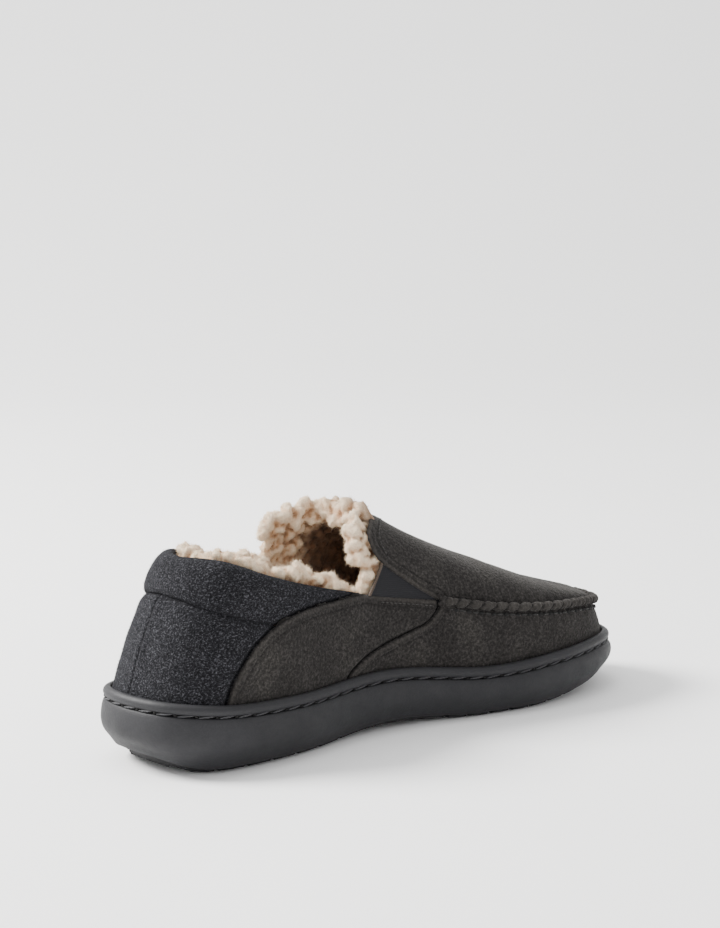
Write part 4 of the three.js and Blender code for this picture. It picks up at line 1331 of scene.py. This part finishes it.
def addFleece(name, slabs, centres, outwards, seed, slot, nodes, flatten=1.0, bigger=None, underSheets=True):
    rng = np.random.default_rng(seed)
    kept = thinned(centres, fleeceLook["spacing"], rng)
    centres, outwards = centres[kept], outwards[kept]
    radius = rng.uniform(*fleeceLook["radius"], len(centres))
    if bigger is not None:
        radius *= bigger[kept]
    radius *= 1 - .3 * howDeep(centres)
    longer = 1 + .9 * rng.random(len(centres))**1.5
    size = np.column_stack([radius * longer, radius * rng.uniform(.8, 1.05, len(centres)), radius * flatten])
    tilt = outwards + .2 * rng.normal(size=outwards.shape)
    bm = bmesh.new()
    bmesh.ops.create_icosphere(bm, subdivisions=2, radius=1)
    places = placesFrom(centres, rng.normal(size=centres.shape), tilt, size)
    lobes = copiesOf(name + "Lobes", bm, places, None)
    bm = bmesh.new()
    bm.from_mesh(lobes.data)
    for mesh in slabs:
        bm.from_mesh(mesh)
        bpy.data.meshes.remove(mesh)
    bpy.data.objects.remove(lobes)
    piece = finishMesh(name, bm, fleece)
    remesh = piece.modifiers.new("join", "REMESH")
    remesh.mode, remesh.voxel_size = "VOXEL", fleeceLook["voxel"] * mm
    mesh = evaluated(piece)
    piece.modifiers.clear()
    piece.data = mesh
    co, edges = meshArrays(mesh)
    for _ in range(2):
        co = co * .5 + neighbourMean(co, edges) * .5
    normal = meshNormals(mesh)
    points = co / mm
    warp = np.column_stack([smoothNoise(points, 3, seed + c) for c in range(3)])
    curl = smoothNoise(points + warp * 1.6, 2.6, seed + 5) + .7 * smoothNoise(points + warp, 1.5, seed + 6)
    co = co + normal * (curl * fleeceLook["curl"] * mm)[:, None]
    co = co * .8 + neighbourMean(co, edges) * .2
    if underSheets:
        co = keepUnder(co, edges, fleeceLook["behindSheets"])
    broad = co.copy()
    for _ in range(14):
        broad = neighbourMean(broad, edges)
    crest = np.clip(.5 + ((co - broad) * normal).sum(1) / (1.7 * mm), 0, 1)
    mesh.vertices.foreach_set("co", co.astype(np.float32).ravel())
    mesh.update()
    dress(mesh, fleece)
    writeLayer(mesh, "crest", crest)
    writeLayer(mesh, "deep", howDeep(co / mm + middle))
    ride(piece, slot, *nodes)
    print(name, len(mesh.polygons), "faces,", len(centres), "lobes")
    return piece


def howDeep(points):
    # 0 to 1, how far into the toe a point lies; the fleece there is smaller and painted darker as shade
    x, y, z = points.T
    return step(147, 160, x + (z - 60) * .2 + 16 * step(0, 18, y) * step(98, 88, z))


def addHeelFleece():
    depth0 = lastSize["upperThick"] + 2 * lastSize["layerGap"] + lastSize["interThick"]
    thick = lastSize["fleeceThick"]

    def stand(share, extra=0.0):
        end = np.where(share < 0, liningLateral, liningMedial)
        rise = 5 * np.clip((end - np.abs(share)) / .03, 0, 1)
        return 1 + (rise + extra) / wallRise(share)

    def slab(u, v):
        share = -liningLateral + .004 + (liningMedial + liningLateral - .008) * u
        level = -.3 + (stand(share, -1.6) + .3) * v
        return under(share, level, depth0 + thick * .5, True)

    rng = np.random.default_rng(7)
    wallCount, rimCount = 9000, 5000  # random points, before they are thinned
    share = rng.uniform(-liningLateral + .002, liningMedial - .002, wallCount)
    level = rng.uniform(.0, 1, wallCount) * stand(share)
    depth = np.full(wallCount, depth0 + thick - 2.0)
    rimShare = rng.uniform(-liningLateral, liningMedial, rimCount)
    frontwards = step(.1, .2, np.abs(rimShare))
    rimLevel = stand(rimShare, -.3 + rng.uniform(.5, 4.2, rimCount) * frontwards)
    rimDepth = rng.uniform(depth0 + .2 - 1.4 * frontwards, depth0 + thick - 1.0, rimCount)
    share, level, depth = (np.concatenate(x) for x in ((share, rimShare), (level, rimLevel),
                                                       (depth, rimDepth)))
    centres = under(share, level, depth, True)
    outwards = -skinNormal(share, level, True)
    outwards[wallCount:] += np.array([0, 0, 1.2])
    bigger = np.concatenate([np.ones(wallCount), 1.0 + .22 * frontwards])
    slabs = [slabMesh(slab, 200, 40, thick - fleeceLook["pile"])]
    return addFleece("fleeceHeel", slabs, centres, outwards, 101, "fleece", ["lining_heel"], bigger=bigger)


def rearEdge(edge, start, overhang):
    reach = lambda level: overhang + (.019 - overhang) * step(1.6, 1.95, level)
    return lambda level: np.minimum(start + np.maximum(level - 1, 0) * .06,
                                    edge(np.maximum(level, gorePeak)) - reach(level))


def addVampFleece():
    depth0 = lastSize["upperThick"] + lastSize["layerGap"]
    thick = lastSize["fleeceThick"]
    startMedial, startLateral = liningMedial + .003, liningLateral + .003
    medial = rearEdge(apronMedial, startMedial, overhangMedial)
    lateral = rearEdge(apronLateral, startLateral, overhangLateral)
    wallCount, topCount = 9000, 12000  # random points, before they are thinned
    rimCount, faceCount = 9000, 4000

    def wallSlab(u, v):
        share = startMedial + .004 + (1 - startLateral - startMedial - .008) * u
        return under(share, -.3 + 1.3 * v, depth0 + thick * .5, band=.06)

    def topSlab(u, v):
        level = 1 + v
        a, b = medial(level) + .002, 1 - lateral(level) - .002
        points = under(a + (b - a) * u, level, depth0 + thick * .5, band=.06)
        # the far edge rolls back and up
        roll = step(.93, 1, u) * step(1.02, 1.3, level) * step(1.8, 1.35, level)
        return points + roll[:, None] * np.array([-5.0, 0, 2.2])

    rng = np.random.default_rng(8)
    def inside(n, low, high, far):
        level = rng.uniform(low, high, n)
        a = np.where(level < 1, startMedial, medial(np.maximum(level, 1)))
        b = np.where(level < 1, startLateral, lateral(np.maximum(level, 1)))
        reach = rng.random(n)**1.6 * far
        flip = rng.random(n) < .5
        return np.where(flip, 1 - b - reach, a + reach), level, np.full(n, depth0 + thick - 2.0)
    rimLevel = np.where(rng.random(rimCount) < .9, rng.uniform(1, 2, rimCount), rng.uniform(.7, 1, rimCount))
    flip = rng.random(rimCount) < .5
    onLateral = np.where(rimLevel < 1, startLateral, lateral(np.maximum(rimLevel, 1)))
    onMedial = np.where(rimLevel < 1, startMedial, medial(np.maximum(rimLevel, 1)))
    back = np.where(flip, onLateral, onMedial) + rng.uniform(.0005, .003, rimCount)
    byGore = 1 - step(1.3, 1.75, rimLevel)
    rimDepth = rng.uniform(-1.8, depth0 + thick - 2.0, rimCount) * (1 - byGore)
    rimDepth += rng.uniform(4.2, 5.8, rimCount) * byGore
    rim = np.where(flip, 1 - back, back), rimLevel, rimDepth
    faceLevel = rng.uniform(1.05, 2, faceCount)
    flipB = rng.random(faceCount) < .5
    band = np.where(flipB, lateral(faceLevel), medial(faceLevel)) + rng.uniform(.002, .015, faceCount)
    face = np.where(flipB, 1 - band, band), faceLevel, np.full(faceCount, depth0 + .9)
    parts = [inside(wallCount, .02, 1.0, .26), inside(topCount, 1.0, 2.0, .22), rim, face]
    share, level, depth = (np.concatenate([p[i] for p in parts]) for i in range(3))
    centres = under(share, level, depth, band=.06)
    outwards = -skinNormal(share, level, band=.06)
    count = wallCount + topCount
    outwards[count:] = np.array([-.6, 0, -.8])
    top = step(1.35, 1.8, rimLevel)
    far = np.where(flip, step(1.02, 1.3, rimLevel), 0)
    backwards = rng.uniform(0, 1, rimCount) * (2 + 3 * top + 5.5 * far * (1 - top)) + 2 * far
    centres[count:count + rimCount, 0] -= backwards
    centres[count:count + rimCount, 2] += rng.uniform(0, 1.4, rimCount) * top + 3.6 * far * (1 - top)
    bigger = np.concatenate([np.ones(count), 1.22 + .1 * top, np.ones(faceCount)])
    slabThick = thick - fleeceLook["pile"]
    slabs = [slabMesh(wallSlab, 240, 40, slabThick), slabMesh(topSlab, 240, 60, slabThick)]
    nodes = ["lining_toe", "lining_apron"]
    return addFleece("fleeceVamp", slabs, centres, outwards, 102, "fleece", nodes, bigger=bigger)


def addSockFleece():
    up = bedLook["board"] + bedLook["foam"] + .9
    rng = np.random.default_rng(9)
    count, midLine = 9000, 1  # random points, before they are thinned, and the y of the slipper's middle
    s = rng.random(count)
    edge = loopPoint(s, bedLook["inset"] + 1.5 + rng.random(count)**.8 * 34, 0)
    ownSide = (edge[:, 1] - midLine) * (plan(s, 0)[:, 1] - midLine) > 0  # not past the middle
    edge = edge[ownSide]
    edge[:, 2] = lineCurve(floorKnots, edge[:, 0])[:, 0] + up + bedLook["sock"] - 2.0
    outwards = np.tile([0, 0, 1.0], (len(edge), 1))
    slabPoint = bedPoint(up + .3, bedLook["sock"] - 1.6, bedLook["inset"] + 1.2)
    slab = closeEnds(gridSurface("slab", slabPoint, 160, 16, fleece, welded=True))
    mesh = evaluated(slab)
    bpy.data.objects.remove(slab)
    return addFleece("fleeceSock", [mesh], edge, outwards, 103, "fleece", ["sock_liner"], flatten=.7,
                     underSheets=False)


# near-black balls at the stitch holes: painted shade in the holes
holeShade = plainGrain("stitchHoles", (6, 6, 6), (14, 13, 13), .5, .05, .95)
addSole()
print("sole made")
addInsoles()
for side in ("medial", "lateral"):
    addQuarter(side)
addToeWall()
addApron()
addSeam()
addGores()
addTopstitches()
print("suede upper made")
addHeelPanels()
addCollar()
woolPieces = [bpy.data.objects[n] for n in ("heelPanelMedial", "heelPanelLateral", "collarRoll")]
feltPile = {"count": 15000, "seed": 71, "lean": (.35, .9), "long": (.9, 1.9), "thick": .04}
addHairs("woolFuzz", woolPieces, feltPile, woolHair, "wool_felt")
print("wool heel made")
upperNames = ("quarterMedial", "quarterLateral", "toeWall", "apronPanel", "goreMedial", "goreLateral")
sheets = sheetTree([bpy.data.objects[n] for n in upperNames] + woolPieces[:2])
fleeces = [addHeelFleece(), addVampFleece(), addSockFleece()]
for piece, count, seed in zip(fleeces, (46000, 49000, 12000), (83, 80, 82)):
    pile = {"count": count, "seed": seed, "lean": (.2, .9), "long": (1.0, 2.6), "thick": .09}
    addHairs(piece.name + "Fuzz", [piece], pile, fleeceHair, "fleece", 3.2, "crest")
print("fleece made")
for nodeName in ("insole_board", "heel_counter"):  # hidden inside, so the slipper's own solids stay
    frame["nodes"][nodeName].data.materials.clear()
    frame["nodes"][nodeName].data.materials.append(boardLook)
